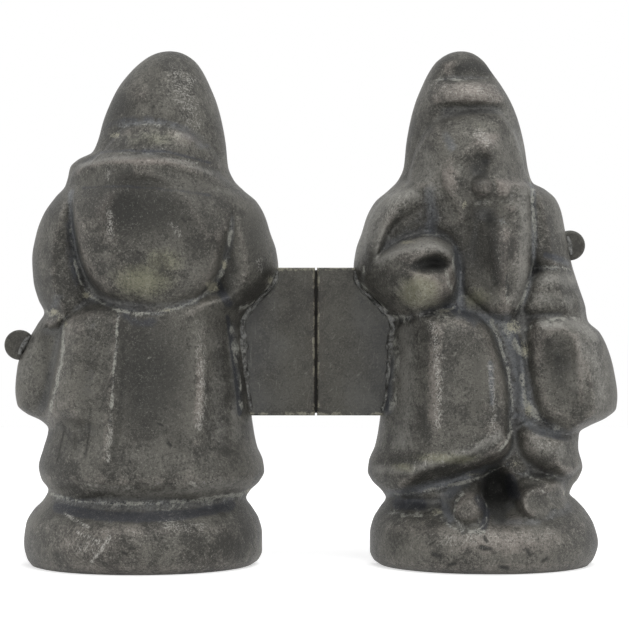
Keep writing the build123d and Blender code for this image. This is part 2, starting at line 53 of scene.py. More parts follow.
# A hinged two-part figure mold of old cast pewter, lying open.
# Shapes are worked out in millimetres, and turned into metres when a mesh is made.
# Each half is drawn by its distance from the hinge pin and its height, the back
# half to the left and the front half to the right. Depth is measured from the
# parting plane towards the outside, which faces -Y.

bl_info = {
    "name": "Hinged Figure Mold",
    "version": (1, 0, 0),
    "blender": (4, 5, 0),
    "location": "View3D > Sidebar > Figure Mold",
    "description": "Dresses a hinged two-part figure mold in cast pewter, sheet metal and solder",
    "category": "Object",
}

MM = 0.001
pin_x = frame["joints"][0]["pos_m"][0] / MM
pin_y = frame["joints"][0]["pos_m"][1] / MM
sides = {"back": -1, "front": 1}

# Shared sizes of the shells, as in the part's own source
wall = 3.0
rim_gap = 0.1
rim_round = 15.0
roof_share = 1.15
wear_reach = 0.7
wear_depth = 0.8
cavity_round = 0.85
least_depth = 0.4
form_blend = 0.6
detail_depth = 4.0
drawn_height = 119.6
nowhere = -1000.0
tip_distance = 34.0
cap_bottom = 117.0

# How finely the shells are followed
rows_up = 321
cap_rows = 24
rows_across = 225
softening = 3

# The solder between leaf and shell: depth of the leaf's face, how far from the rim the corner
# is looked for and in how many steps, how deep the solder reaches, and how finely it is followed
leaf_face = 3.05
corner_reach = 12.0
corner_steps = 400
solder_sunk = 0.45
solder_rows = 181
solder_sides = 16
leaf_bottom, leaf_top = (corner.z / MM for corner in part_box("front_hinge_leaf"))

# The outline of the rim, as height above the table and distance from the pin
hinge_side = [
    (0.0, 14.8), (1.0, 13.4), (3.0, 12.6), (7.0, 12.6), (10.5, 13.4), (13.2, 15.0),
    (15.3, 16.3), (17.0, 15.4), (19.2, 13.2), (21.5, 12.1), (24.0, 12.4), (27.5, 13.8),
    (32.0, 14.7), (40.0, 15.7), (50.0, 17.0), (55.5, 17.4), (58.5, 16.2), (62.0, 12.8),
    (65.5, 9.8), (69.0, 8.8), (73.0, 9.3), (77.2, 10.7), (81.0, 11.9), (84.5, 13.9),
    (87.0, 16.8), (89.5, 19.2), (92.5, 20.5), (98.0, 21.1), (103.5, 22.1), (107.5, 23.2),
    (111.0, 24.6), (114.7, 26.4), (117.2, 28.2), (118.8, 30.2), (119.6, 32.6)]
back_far_side = [
    (0.0, 66.4), (1.5, 67.4), (5.0, 68.1), (9.5, 67.6), (12.5, 66.0), (15.0, 63.6),
    (17.3, 62.5), (20.0, 64.0), (23.0, 64.6), (27.0, 63.5), (31.5, 62.4), (33.4, 64.2),
    (35.0, 67.6), (37.0, 69.8), (40.5, 70.3), (46.0, 69.8), (51.5, 67.6), (56.0, 65.0),
    (58.5, 63.5), (61.5, 64.8), (66.0, 66.0), (71.0, 66.3), (77.0, 65.3), (81.5, 63.6),
    (85.5, 60.8), (88.0, 58.6), (90.0, 58.0), (92.5, 57.4), (94.2, 55.6), (95.8, 52.4),
    (98.0, 51.2), (103.5, 49.6), (107.5, 48.0), (111.0, 46.2), (114.7, 43.3), (117.2, 40.6),
    (118.8, 37.9), (119.6, 35.6)]
front_far_side = [
    (0.0, 63.6), (1.5, 64.8), (5.0, 65.8), (9.0, 64.9), (12.5, 62.9), (14.8, 60.8),
    (16.3, 59.3), (18.0, 59.9), (20.0, 61.4), (22.5, 62.3), (27.0, 61.3), (30.5, 61.6),
    (32.3, 64.2), (34.2, 68.0), (36.2, 70.1), (39.0, 70.4), (45.0, 69.6), (50.0, 68.2),
    (54.0, 66.2), (56.5, 63.6), (60.0, 62.9), (64.5, 61.4), (70.0, 59.7), (77.0, 58.3),
    (82.0, 57.3), (85.0, 56.0), (87.3, 53.4), (88.8, 50.7), (91.0, 49.8), (98.0, 48.6),
    (103.5, 47.2), (107.5, 45.6), (111.0, 43.6), (114.7, 41.0), (117.2, 39.2),
    (118.8, 37.3), (119.6, 35.4)]

# How deep the plain body of each half is, as height and depth
back_depth = [
    (0.0, 24.0), (1.5, 26.2), (5.5, 27.5), (9.5, 26.6), (12.3, 23.6), (14.6, 20.6),
    (16.3, 20.0), (18.5, 21.0), (21.5, 22.4), (24.5, 22.0), (28.0, 20.2), (32.0, 17.2),
    (36.0, 14.4), (41.0, 12.2), (48.0, 11.2), (55.0, 12.0), (60.0, 13.0), (70.0, 13.4),
    (84.0, 14.0), (93.0, 14.4), (101.0, 14.3), (107.0, 13.2), (112.0, 11.2), (116.0, 8.4),
    (118.6, 4.6), (119.6, 2.0)]
front_depth = [
    (0.0, 22.4), (1.5, 24.8), (5.5, 26.0), (9.0, 24.8), (11.8, 21.0), (14.0, 16.0),
    (16.0, 13.0), (19.0, 12.0), (24.0, 12.0), (30.0, 11.5), (45.0, 11.0), (57.0, 11.0),
    (70.0, 11.0), (84.0, 11.5), (93.0, 12.5), (101.0, 13.0), (107.0, 12.6), (112.0, 10.8),
    (116.0, 8.4), (118.6, 4.6), (119.6, 2.0)]

# How square the plain body is across, as height and power, where 2 is an ellipse
back_squareness = [
    (0.0, 2.0), (10.0, 2.0), (15.0, 2.2), (22.0, 2.9), (50.0, 2.9), (60.0, 2.4), (90.0, 2.1),
    (119.6, 2.0)]
front_squareness = [
    (0.0, 2.0), (10.0, 2.0), (15.0, 2.2), (22.0, 2.4), (50.0, 2.4), (60.0, 2.2), (90.0, 2.0),
    (119.6, 2.0)]

# Raised forms on the back half: outline as distance from the pin and height,
# depth at the foot of its edge, depth of its top, width of its rounded edge
back_forms = {
    "coat": ([(4, 62), (4, 15), (66, 15), (63, 30), (61.6, 37), (59, 50), (57, 60), (37, 64)],
             10.0, 20.3, 7.5),
    "hinge_arm": ([(20.6, 87.8), (20.6, 81.6), (22.0, 73.6), (23.6, 66.7), (21.6, 61.0),
                   (17.4, 58.2), (13.3, 59.8), (10.0, 64.0), (5, 69), (5, 85), (15, 89.6)],
                  10.0, 14.4, 5.5),
    "far_arm": ([(54.2, 87.3), (54.4, 81.6), (53.8, 73.6), (51.6, 65.6), (51.4, 59.4),
                 (56.3, 55.6), (60.9, 54.8), (66.5, 57.6), (69, 71), (67.6, 85), (60.9, 90.6)],
                10.0, 13.8, 5.5),
    "collar": ([(48.8, 95.5), (46.1, 98.7), (42.0, 101.2), (37.5, 102.1), (32.5, 101.2),
                (27.3, 98.7), (23.1, 94.9), (20.8, 91.0), (37.5, 88.0), (53.4, 90.9)],
               13.6, 16.6, 2.5),
    "basket": ([(55.4, 90.9), (55.6, 84.6), (54.9, 75.6), (52.0, 65.9), (46.4, 60.7),
                (37.4, 58.0), (28.4, 60.1), (22.7, 65.2), (19.8, 75.6), (18.9, 83.5),
                (19.4, 89.1), (28.4, 92.9), (37.4, 94.0), (48.6, 93.1)],
               14.0, 21.5, 9.0),
    "basket_lip": ([(57.0, 90.9), (52.0, 92.9), (46.4, 93.7), (37.4, 94.1), (28.4, 92.7),
                    (21.6, 90.0), (18.4, 87.7), (18.8, 84.6), (26.1, 85.9), (37.4, 87.7),
                    (48.6, 87.3), (56.4, 86.2)],
                   17.5, 23.2, 2.8)}

# Raised forms on the front half, in the same terms
front_forms = {
    "hood": ([(20.2, 86.6), (25.4, 83.4), (25.9, 77.0), (32.5, 73.0), (32.9, 63.0),
              (37.2, 60.3), (41.5, 56.2), (45.6, 56.6), (48.2, 63.0), (50.0, 69.8),
              (49.8, 80.2), (49.4, 86.8), (46.0, 101.6), (36.8, 107.1), (24.9, 101.4)],
             10.0, 15.6, 8.0),
    "face": ([(27.8, 92.5), (31.0, 95.8), (36.4, 98.6), (41.6, 98.0), (44.7, 91.2),
              (44.7, 84.4), (40.9, 83.1), (35.0, 83.1), (32.8, 79.2), (30.7, 82.2),
              (28.0, 87.8)],
             14.5, 17.6, 3.5),
    "nose": ([(35.2, 88.9), (37.4, 89.6), (39.6, 88.6), (40.2, 85.8), (37.4, 83.9), (34.6, 85.8)],
             16.4, 20.4, 2.2),
    "beard": ([(32.7, 80.1), (35.6, 83.2), (40.8, 83.2), (46.0, 81.9), (48.7, 77.6),
               (48.3, 69.3), (44.9, 58.0), (42.2, 57.1), (37.0, 64.1), (32.7, 69.3)],
              12.0, 20.5, 8.6),
    "upper_arm": ([(5.5, 58.0), (6.0, 80.2), (15.8, 88.2), (21.5, 88.7), (25.6, 84.8),
                   (25.0, 82.5), (19.8, 80.4), (16.2, 77.0), (15.0, 72.5), (13.4, 66.0), (12.0, 59.0)],
                  9.0, 13.4, 5.0),
    "arm_hollow": ([(11.0, 69.0), (11.5, 80.0), (17.5, 87.0), (26.0, 87.0), (28.0, 79.0), (22.0, 74.0),
                    (17.0, 70.5)], 7.6, 11.0, 3.0),
    "hand": ([(12.9, 70.2), (17.2, 73.6), (21.7, 75.8), (27.1, 77.0), (31.9, 73.6),
              (32.8, 68.6), (32.3, 63.0), (28.7, 59.3), (19.9, 57.1), (14.0, 59.3),
              (10.6, 63.4)],
             10.5, 20.0, 8.0),
    "far_arm": ([(48.0, 85.9), (48.2, 80.2), (48.8, 68.4), (59.3, 67.6), (63, 70.2), (62, 86),
                 (51.3, 89.2)],
                9.5, 12.8, 3.0),
    "cuff": ([(46.7, 60.7), (50.2, 68.1), (53.6, 69.0), (61.6, 68.5), (64.2, 58.5),
              (58.2, 56.8), (48.3, 57.0)],
             9.8, 13.6, 4.0),
    "bag": ([(47.9, 57.1), (52.0, 58.0), (60.6, 58.3), (66.5, 54.9), (73, 41.4), (73, 36),
             (61.1, 31.2), (55.4, 30.7), (50.4, 34.6), (48.1, 47.1)],
            9.2, 15.5, 4.5),
    "coat_panel": ([(18.1, 55.7), (17.2, 44.9), (16.3, 35.4), (8.9, 30.1), (7.8, 18.6),
                    (17.9, 18.0), (25.3, 20.4), (34.6, 23.0), (41.5, 26.4), (44.2, 30.8),
                    (44.3, 38.1), (43.4, 44.0), (41.1, 51.7), (39.3, 55.7), (34.8, 59.0),
                    (24.8, 59.0)],
                   11.5, 18.6, 7.0),
    "hem": ([(12.1, 23.1), (17.9, 22.7), (25.4, 24.5), (34.7, 27.0), (41.8, 30.8),
             (45.0, 31.2), (43.9, 25.6), (36.0, 21.6), (25.9, 18.6), (16.3, 16.0), (9.4, 17.5)],
            10.5, 16.2, 3.5),
    "under_hem": ([(14.0, 12.0), (14.0, 19.0), (22.0, 21.6), (30.0, 22.6), (37.0, 25.0), (41.0, 26.5),
                   (37.0, 19.0), (30.0, 12.5)], 4.5, 12.2, 5.5),
    "knee": ([(45.2, 32.0), (48.6, 33.9), (55.4, 31.6), (60.8, 28.8), (63, 23.9),
              (57.5, 20.4), (52, 21.6), (46.0, 25.6)],
             8.5, 14.6, 4.5),
    "ankle": ([(28, 20), (38.5, 21.5), (38.5, 12), (28, 10)], 9.0, 15.5, 3.0),
    "far_ankle": ([(45, 22), (57, 21), (58, 12), (45, 12)], 9.0, 15.0, 3.0),
    "shoe": ([(29.8, 14.2), (31.4, 17.6), (34.3, 18.6), (37.4, 17.4), (38.8, 14.0),
              (37.4, 10.6), (34.3, 9.4), (31.2, 10.6)],
             15.0, 24.4, 4.4),
    "far_shoe": ([(45.0, 15.4), (46.4, 18.4), (49.3, 19.6), (52.4, 18.6), (54.0, 15.4),
                  (52.6, 12.0), (49.3, 10.8), (46.2, 12.0)],
                 14.0, 22.0, 4.2)}

# Tilts of some tops: rise per mm across, rise per mm up, and the level place
tilts = {
    "coat": (0, -0.075, 0, 45),
    "collar": (0, -0.42, 0, 99),
    "basket": (0, 0.05, 0, 80),
    "bag": (0, 0.10, 0, 45),
    "arm_hollow": (0, 0.12, 0, 78),
    "under_hem": (0.22, 0, 22, 0),
    "hem": (0, 0.5, 0, 23),
    "coat_panel": (-0.07, -0.04, 26, 45)}
roofed_forms = ("beard",)
wide_blends = {"coat": 4.0, "hem": 1.2, "under_hem": 3.0, "arm_hollow": 3.5}

# Long soft ridges and creases: points as distance and height, width, rise
back_lines = [
    ([(57, 90.2), (50, 92.2), (43, 93.0), (36, 92.8), (29, 91.4), (22, 88.6)], 1.3, 0.9),
    ([(34.4, 116), (33.4, 108), (31.6, 99)], 2.6, 0.6),
    ([(57, 85.8), (50, 86.6), (43, 87.2), (36, 87.0), (29, 86.2), (21, 83.8)], 1.4, -0.35),
    ([(46.5, 87), (46, 77), (43, 67)], 2.4, 0.5),
    ([(44.8, 57), (46.2, 40), (47.2, 26)], 0.9, 0.9),
    ([(49.5, 55), (50.5, 42), (51.0, 32)], 2.4, -0.5),
    ([(25.5, 54), (25.8, 40), (27, 30)], 2.6, 1.1),
    ([(36, 54), (37, 30)], 5.0, -0.6),
    ([(53.5, 32), (54.5, 25)], 0.6, -0.4)]
front_lines = [
    ([(16, 22.0), (26, 24.2), (35, 26.8), (41.5, 30.2)], 1.4, 0.7),
    ([(32.8, 79.4), (35, 82.8), (40.8, 83.2), (44.6, 82)], 0.8, 0.8),
    ([(59.2, 53), (60.2, 38.5)], 0.9, 0.7),
    ([(26.2, 53), (26.4, 44), (26.8, 34)], 2.4, 1.0),
    ([(46, 53), (47.4, 45), (47, 34)], 0.8, 1.2),
    ([(60.6, 62), (60.6, 58)], 1.2, 0.8)]

# Rounded bumps and pits: distance, height, half width, half height, tilt in degrees,
# power of the fall, rise
back_bumps = []
front_bumps = [
    (36.5, 108.6, 8.5, 2.6, 0, 2.0, 1.3), (38.9, 96.6, 3.0, 2.0, 0, 2.0, 0.9),
    (36.8, 91.6, 3.0, 2.6, 0, 3.0, -1.3), (38.7, 93.0, 1.2, 1.0, 0, 2.0, -1.4),
    (32.2, 92.0, 1.4, 1.0, 0, 2.0, -0.7), (42.2, 86.8, 2.2, 2.2, 0, 2.0, 0.9),
    (30.6, 87.4, 2.2, 2.6, 0, 2.0, 0.8), (24.6, 69.3, 2.8, 1.5, -12, 2.6, -3.6),
    (27.8, 69.8, 2.5, 1.9, 14, 2.6, -4.6), (37.4, 74.2, 4.0, 8.6, 4, 3.0, -2.2),
    (55.2, 45.6, 4.6, 8.2, -6, 2.4, -3.0), (41.4, 17.2, 3.5, 5.4, -8, 4.0, -6.0),
    (21.4, 15.8, 3.6, 1.3, 0, 3.0, -3.5),
    (56.8, 41.4, 3.2, 4.2, -6, 2.0, 1.3), (21.4, 15.8, 3.6, 1.3, 0, 3.0, 2.4)]

# Ledges: distance, height of the edge, half width, reach of the slope up from it
# or, where negative, down from it, drop
back_ledges = []
front_ledges = [(33.6, 112.2, 6.0, 4.6, 1.7), (35.0, 105.6, 7.0, -7.2, 2.4)]
ledge_edge = 1.15

# Unevenness of the casting, which fades out beside the rim: size of a ripple and its rise
ripples = [(9.0, 0.16), (4.2, 0.10), (1.9, 0.045)]
rim_fade = 3.0

# Pits, which lie in patches: size, share of the height of their ripple that sinks in, size of a patch
pit_size = 1.3
pit_share = 0.45
patch_size = 7.0

# Lumps of the solder: size and share of its radius, and the shares between lumps, at least and at most
lumps = [(3.4, 0.45), (1.3, 0.25)]
plain_share = 0.8
least_share = 0.3
most_share = 1.4
solder_height = 0.85

# Seeds of the unevenness
first_ripple_seed = {"back": 9, "front": 0}
pit_seed = 31
patch_seed = 32
first_lump_seed = 51

# How much lower or higher than its surroundings a point is for the full mark, near by and farther off
crease_depth = 0.06
hollow_depth = 0.9
crest_height = 0.8
near_by = 5
farther_off = 60

# Where old wear and painted highlights, green tints and painted light, soot and painted shade, and cream
# crust
# show: distance, height, half width, half height, amount
# The spot on the coat's ridge and the band on the basket lip's top are painted highlight; the rest are wear
back_wear_and_highlight = [
    (26.3, 41.0, 1.0, 9.0, 0.8), (46.6, 78.0, 4.0, 6.0, 0.35), (37.0, 92.5, 15.0, 0.9, 0.5),
    (50.0, 6.0, 9.0, 4.0, 0.3), (56.0, 6.5, 4.0, 2.5, 0.35), (40.0, 108.0, 4.0, 5.0, 0.4),
    (29.5, 97.5, 3.5, 2.6, 0.5)]
# The spots on the coat's ridge and on the hood's lappet are painted highlight; the rest are wear
front_wear_and_highlight = [
    (35.4, 108.6, 8.0, 3.2, 0.55), (30.4, 114.6, 1.8, 2.6, 0.6), (27.6, 106.8, 1.5, 3.6, 0.5),
    (41.6, 108.0, 1.6, 3.0, 0.4), (38.4, 98.2, 3.5, 1.4, 0.9), (30.0, 89.0, 2.0, 3.0, 0.6),
    (42.4, 87.0, 2.0, 2.0, 0.6), (24.7, 64.5, 5.0, 3.5, 0.7), (26.3, 43.0, 1.6, 12.0, 0.4),
    (42.9, 70.0, 0.5, 9.0, 0.4), (44.0, 7.0, 11.0, 2.0, 0.6), (16.0, 80.0, 4.0, 4.0, 0.4),
    (61.0, 46.0, 3.0, 6.0, 0.35), (46.0, 87.0, 2.5, 8.0, 0.35),
    (45.6, 73.0, 2.6, 12.0, 0.5)]
# Green spots: a greenish tint, which on the front half also paints light onto the hand's lower face and the
# hem's top
back_green_and_lit = [(39.0, 65.5, 8.0, 4.5, 0.95), (34.0, 70.0, 6.0, 4.0, 0.7), (37.0, 98.0, 9.0, 2.5, 0.6)]
front_green_and_lit = [
    (23.5, 63.4, 5.2, 4.0, 1.25), (20.0, 62.0, 3.0, 3.0, 0.5), (36.6, 61.8, 3.4, 3.0, 0.8),
    (30.0, 25.6, 9.0, 1.6, 0.95), (20.0, 23.4, 4.0, 1.4, 0.9), (36.0, 100.6, 6.0, 2.0, 0.4)]
# Dark spots: darker patches of the casting, and painted shade below the basket lip, beside the arms and in
# the groove above the base
back_soot_and_shade = [
    (37.0, 44.0, 10.0, 17.0, 0.85), (38.0, 82.0, 13.0, 8.0, 0.88), (45.0, 106.0, 6.0, 5.0, 0.6),
    (37.5, 110.0, 1.6, 7.0, 0.5), (14.0, 76.0, 4.0, 10.0, 0.6), (60.0, 78.0, 5.0, 9.0, 0.2),
    (20.3, 66.0, 3.0, 6.0, 0.8), (37.0, 15.8, 22.0, 1.6, 0.5)]
back_cream = [
    (52.4, 62.5, 1.6, 1.0, 1.0), (60.1, 58.7, 1.6, 1.0, 1.1), (23.6, 64.5, 1.6, 1.4, 1.2),
    (20.9, 69.5, 0.8, 1.4, 1.0), (11.7, 62.4, 0.9, 1.2, 1.0), (10.6, 66.1, 0.7, 1.4, 0.8),
    (45.9, 99.0, 1.8, 1.0, 0.9), (58.6, 57.4, 1.0, 1.8, 0.7), (34.0, 59.0, 3.0, 0.6, 0.7),
    (15.0, 17.2, 2.4, 0.9, 0.7), (57.0, 56.0, 0.8, 1.2, 0.8)]
front_cream = [
    (29.6, 58.6, 2.4, 1.0, 0.7), (45.2, 55.4, 1.8, 2.0, 0.9), (47.6, 50.0, 1.2, 2.4, 0.8),
    (15.8, 57.6, 1.8, 0.9, 0.8), (33.4, 83.0, 1.0, 1.2, 0.8), (36.0, 21.6, 3.4, 0.7, 0.7),
    (27.0, 13.4, 2.4, 1.2, 0.7), (45.4, 24.2, 2.0, 1.6, 0.6), (20.6, 74.6, 2.4, 0.7, 0.8),
    (57.0, 17.0, 2.0, 1.2, 0.6), (48.6, 36.0, 1.2, 2.4, 0.7)]
# Dark spots: dirt and painted shade on the beard, and painted shade under the hood's brim, in the hand's
# pit, in the bag's hollow,
# in the groove under the hem, under the upper arm and in the hole between the shoes
front_soot_and_shade = [
    (38.6, 74.0, 5.0, 9.0, 0.5), (36.6, 90.0, 2.6, 4.6, 0.8), (35.5, 102.4, 7.0, 2.8, 0.35),
    (26.0, 69.0, 4.6, 2.6, 0.9), (55.6, 46.0, 3.4, 7.6, 0.7), (41.4, 17.4, 3.6, 5.2, 1.0),
    (22.0, 15.6, 4.0, 1.4, 0.6), (36.8, 114.6, 3.4, 2.0, 0.6), (20.0, 77.0, 4.5, 2.0, 0.5)]

# Chalky lines, scuffs and dark bluish streaks, as traced: points as distance and
# height, half width, amount
back_chalk = [
    ([(56.3, 87.4), (56.2, 81.9), (55.9, 75.8), (54.9, 69.7)], 0.5, 0.6),
    ([(54.9, 69.7), (53.4, 64.8), (51.6, 62.3), (46.6, 59.7), (42.7, 58.7)], 0.6, 1.0),
    ([(42.7, 58.7), (37.4, 58.2), (32.2, 59.2), (27.0, 61.3), (24.2, 63.5)], 0.7, 1.0),
    ([(24.2, 63.5), (21.7, 66.7), (20.3, 71.2)], 0.9, 1.1),
    ([(20.3, 71.2), (19.3, 77.3), (19.5, 82.6)], 0.5, 0.8),
    ([(8.8, 69.2), (10.6, 66.0), (12.3, 62.2), (15.3, 60.2), (17.5, 59.7)], 0.6, 0.9),
    ([(47.3, 98.9), (43.6, 101.1), (36.9, 101.3), (32.3, 99.4), (29.3, 98.0)], 0.5, 0.6),
    ([(44.2, 94.4), (35.9, 94.1), (27.1, 92.4)], 0.4, 0.7),
    ([(62.8, 59.1), (57.6, 57.2)], 1.0, 0.9),
    ([(57.7, 56.0), (57.3, 49.3), (58.6, 42.5), (60.9, 34.0)], 0.6, 1.0),
    ([(44.6, 58.3), (44.9, 50.8), (45.6, 41.9), (46.0, 34.4)], 0.5, 1.05),
    ([(19.6, 56.0), (18.7, 49.9), (17.7, 41.4), (17.1, 36.1)], 0.9, 0.8),
    ([(51.4, 20.2), (43.8, 19.2), (34.9, 19.6), (26.7, 20.3), (20.9, 21.2)], 0.9, 0.5),
    ([(60.0, 15.6), (50.0, 14.9), (40.0, 14.7), (28.0, 15.2), (17.0, 15.9)], 1.0, 0.55),
    ([(60.8, 16.7), (54.2, 15.9), (44.0, 15.5), (35.1, 15.8)], 0.7, 1.05),
    ([(35.1, 15.8), (26.9, 16.2), (21.1, 16.8), (17.1, 16.7)], 0.8, 1.05)]
back_scuffs = [
    ([(26.0, 50.5), (25.8, 45.0), (25.6, 39.0), (26.2, 32.9)], 1.0, 0.9),
    ([(26.6, 56.8), (26.2, 51.0)], 1.2, 0.35),
    ([(45.9, 33.0), (46.2, 29.2), (46.4, 25.6)], 0.8, 1.0),
    ([(46.8, 91.0), (47.0, 88.7)], 0.9, 0.8),
    ([(46.2, 80.7), (46.0, 76.2)], 1.0, 1.0),
    ([(32.7, 78.5), (30.5, 76.2)], 1.2, 0.8),
    ([(31.9, 113.3), (28.6, 111.6)], 1.6, 0.8),
    ([(31.5, 110.1), (29.5, 106.3), (28.4, 101.7)], 2.4, 0.6),
    ([(56.7, 13.1), (50.7, 10.6)], 0.35, 1.4),
    ([(49.8, 3.2), (45.7, 8.8)], 0.4, 1.5),
    ([(53.4, 9.6), (47.9, 7.7)], 0.35, 1.2),
    ([(52.6, 6.0), (48.0, 7.0)], 1.6, 0.5),
    ([(33.3, 11.4), (26.0, 10.4)], 1.4, 0.6),
    ([(13.2, 70.5), (12.8, 68.2)], 0.9, 0.8)]
# Dark bluish streaks: some real cracks and streaks, and painted shade under the basket lip and the collar
# and in the grooves
back_dark_and_shade = [
    ([(20.3, 57.6), (19.2, 49.9), (18.2, 41.4), (17.5, 35.3)], 0.6, 1.0),
    ([(59.1, 14.2), (49.2, 13.1), (38.6, 12.8), (29.8, 13.1), (19.7, 14.4)], 1.2, 1.1),
    ([(22.7, 65.2), (21.1, 62.5), (20.0, 60.6)], 1.2, 0.9),
    ([(56.1, 78.8), (56.4, 72.7), (54.5, 65.2)], 1.6, 0.6),
    ([(52.9, 86.8), (43.9, 86.9), (35.0, 86.3), (24.0, 85.1)], 0.6, 0.6),
    ([(48.3, 101.4), (44.9, 102.6), (37.0, 102.7), (30.2, 100.8), (25.0, 96.5)], 1.0, 0.5),
    ([(49.6, 95.2), (41.9, 95.1), (33.7, 94.8), (24.3, 92.8)], 0.5, 0.7),
    ([(50.3, 58.3), (50.5, 49.3), (51.5, 40.4)], 1.8, 0.35),
    ([(43.0, 57.9), (40.4, 56.1), (36.6, 56.4)], 1.6, 0.6)]
front_chalk = [
    ([(27.5, 112.3), (33.4, 112.0), (39.7, 112.8)], 0.5, 0.7),
    ([(33.0, 78.8), (34.1, 81.8), (36.8, 83.4), (39.6, 83.4), (41.4, 82.6)], 0.8, 0.45),
    ([(42.1, 80.0), (42.1, 72.3), (43.0, 66.4), (43.5, 61.1)], 0.8, 0.6),
    ([(49.8, 89.9), (49.4, 83.2), (50.0, 75.6), (49.6, 68.8), (47.0, 61.1), (44.7, 57.7)], 0.5, 0.9),
    ([(50.4, 68.9), (54.1, 68.8), (60.6, 68.5)], 0.6, 0.8),
    ([(15.5, 72.7), (18.9, 74.9), (24.2, 76.4), (29.4, 76.1)], 0.5, 0.7),
    ([(25.9, 85.4), (26.5, 80.1), (25.4, 77.2)], 0.6, 0.6),
    ([(11.0, 68.9), (10.8, 65.1), (13.0, 60.4), (16.9, 57.9), (21.8, 57.5)], 0.6, 0.9),
    ([(29.2, 68.6), (29.9, 64.8), (33.0, 61.9), (32.7, 58.1)], 0.6, 0.7),
    ([(20.8, 69.3), (23.8, 70.8), (29.2, 71.3)], 0.4, 0.6),
    ([(17.9, 56.1), (18.4, 50.7), (18.0, 43.1), (17.6, 36.9)], 1.3, 0.75),
    ([(31.2, 72.0), (32.6, 66.0), (33.2, 60.0)], 1.2, 0.6),
    ([(15.0, 60.0), (20.0, 57.0), (28.0, 57.6), (33.0, 60.6)], 1.2, 0.6),
    ([(15.8, 58.5), (20.2, 56.5), (25.9, 58.1), (32.2, 60.0)], 0.5, 0.8),
    ([(40.2, 56.5), (42.1, 51.6), (44.0, 45.5), (44.8, 37.9), (44.4, 31.0), (41.5, 27.2)], 0.6, 0.9),
    ([(42.9, 56.2), (45.1, 52.3), (47.4, 49.3)], 1.2, 0.9),
    ([(47.0, 44.0), (48.2, 37.9), (50.5, 34.4), (55.5, 31.9)], 1.0, 0.9),
    ([(47.9, 54.6), (50.2, 56.2), (54.8, 57.1), (60.6, 57.1)], 0.6, 0.8),
    ([(16.4, 16.6), (23.1, 17.4), (30.5, 19.2), (38.3, 21.1), (43.6, 23.8)], 0.5, 0.8),
    ([(37.6, 17.2), (38.9, 14.6), (38.2, 11.6), (35.8, 9.7), (32.8, 10.2), (31.0, 12.6), (31.2, 15.8),
      (33.2, 17.9)], 0.35, 1.0),
    ([(36.4, 17.4), (36.6, 14.0), (36.2, 11.2)], 0.45, 0.7),
    ([(47.2, 17.6), (50.0, 18.6), (53.0, 17.4), (54.4, 14.6)], 0.4, 0.7),
    ([(25.9, 13.7), (29.3, 11.3), (32.9, 9.7), (37.3, 9.8)], 0.7, 0.8),
    ([(45.1, 22.3), (50.2, 20.5), (56.5, 21.5)], 0.6, 0.7),
    ([(53.3, 16.7), (54.4, 13.7), (53.3, 11.7)], 0.5, 0.7),
    ([(16.3, 12.7), (19.9, 12.4), (25.8, 12.6)], 0.6, 0.7)]
front_scuffs = [
    ([(16.5, 22.6), (26.0, 24.9), (35.0, 27.5), (41.5, 30.6)], 1.3, 0.35),
    ([(26.2, 56.2), (27.3, 49.4), (27.9, 41.9), (27.3, 33.0)], 0.9, 0.85),
    ([(22.4, 24.8), (22.0, 22.6)], 0.3, 1.2), ([(24.8, 25.4), (24.4, 23.2)], 0.3, 1.2),
    ([(28.6, 25.6), (28.8, 23.8)], 0.3, 1.0),
    ([(28.0, 7.6), (36.0, 8.7), (43.1, 7.9), (52.4, 8.8)], 1.4, 0.35),
    ([(39.4, 46.7), (39.7, 41.9), (40.4, 37.3), (40.0, 32.8)], 0.7, 0.8),
    ([(50.1, 28.9), (54.7, 27.4)], 1.6, 0.5),
    ([(27.0, 110.2), (33.2, 107.4), (39.4, 108.3)], 3.4, 0.4),
    ([(36.8, 99.6), (38.5, 97.1)], 1.4, 0.9),
    ([(15.1, 81.0), (20.3, 83.9)], 2.2, 0.5),
    ([(61.1, 54.6), (64.1, 47.8), (64.7, 40.2)], 2.2, 0.4),
    ([(20.9, 63.3), (26.1, 61.1)], 2.6, 0.25)]
# Dark bluish streaks: painted shade under the upper arm, the hand, the bag and the knee and around the
# shoes, with some real streaks
front_dark_and_shade = [
    ([(16.5, 73.5), (20.4, 77.0), (25.0, 80.5)], 2.6, 0.45),
    ([(52.3, 71.8), (56.4, 70.7)], 0.9, 0.8),
    ([(16.3, 56.1), (16.8, 47.6), (16.3, 36.1)], 0.6, 0.8),
    ([(29.9, 59.6), (33.7, 58.8), (35.7, 56.2)], 1.6, 0.7),
    ([(45.8, 53.1), (47.0, 48.5)], 1.0, 0.7),
    ([(44.4, 20.3), (45.1, 17.3)], 1.6, 1.0),
    ([(18.6, 14.6), (24.2, 14.8)], 1.4, 1.0),
    ([(36.4, 16.6), (38.6, 13.2), (37.4, 10.8)], 1.2, 0.9),
    ([(48.8, 32.2), (53.3, 30.4), (57.4, 29.5)], 1.0, 0.6)]
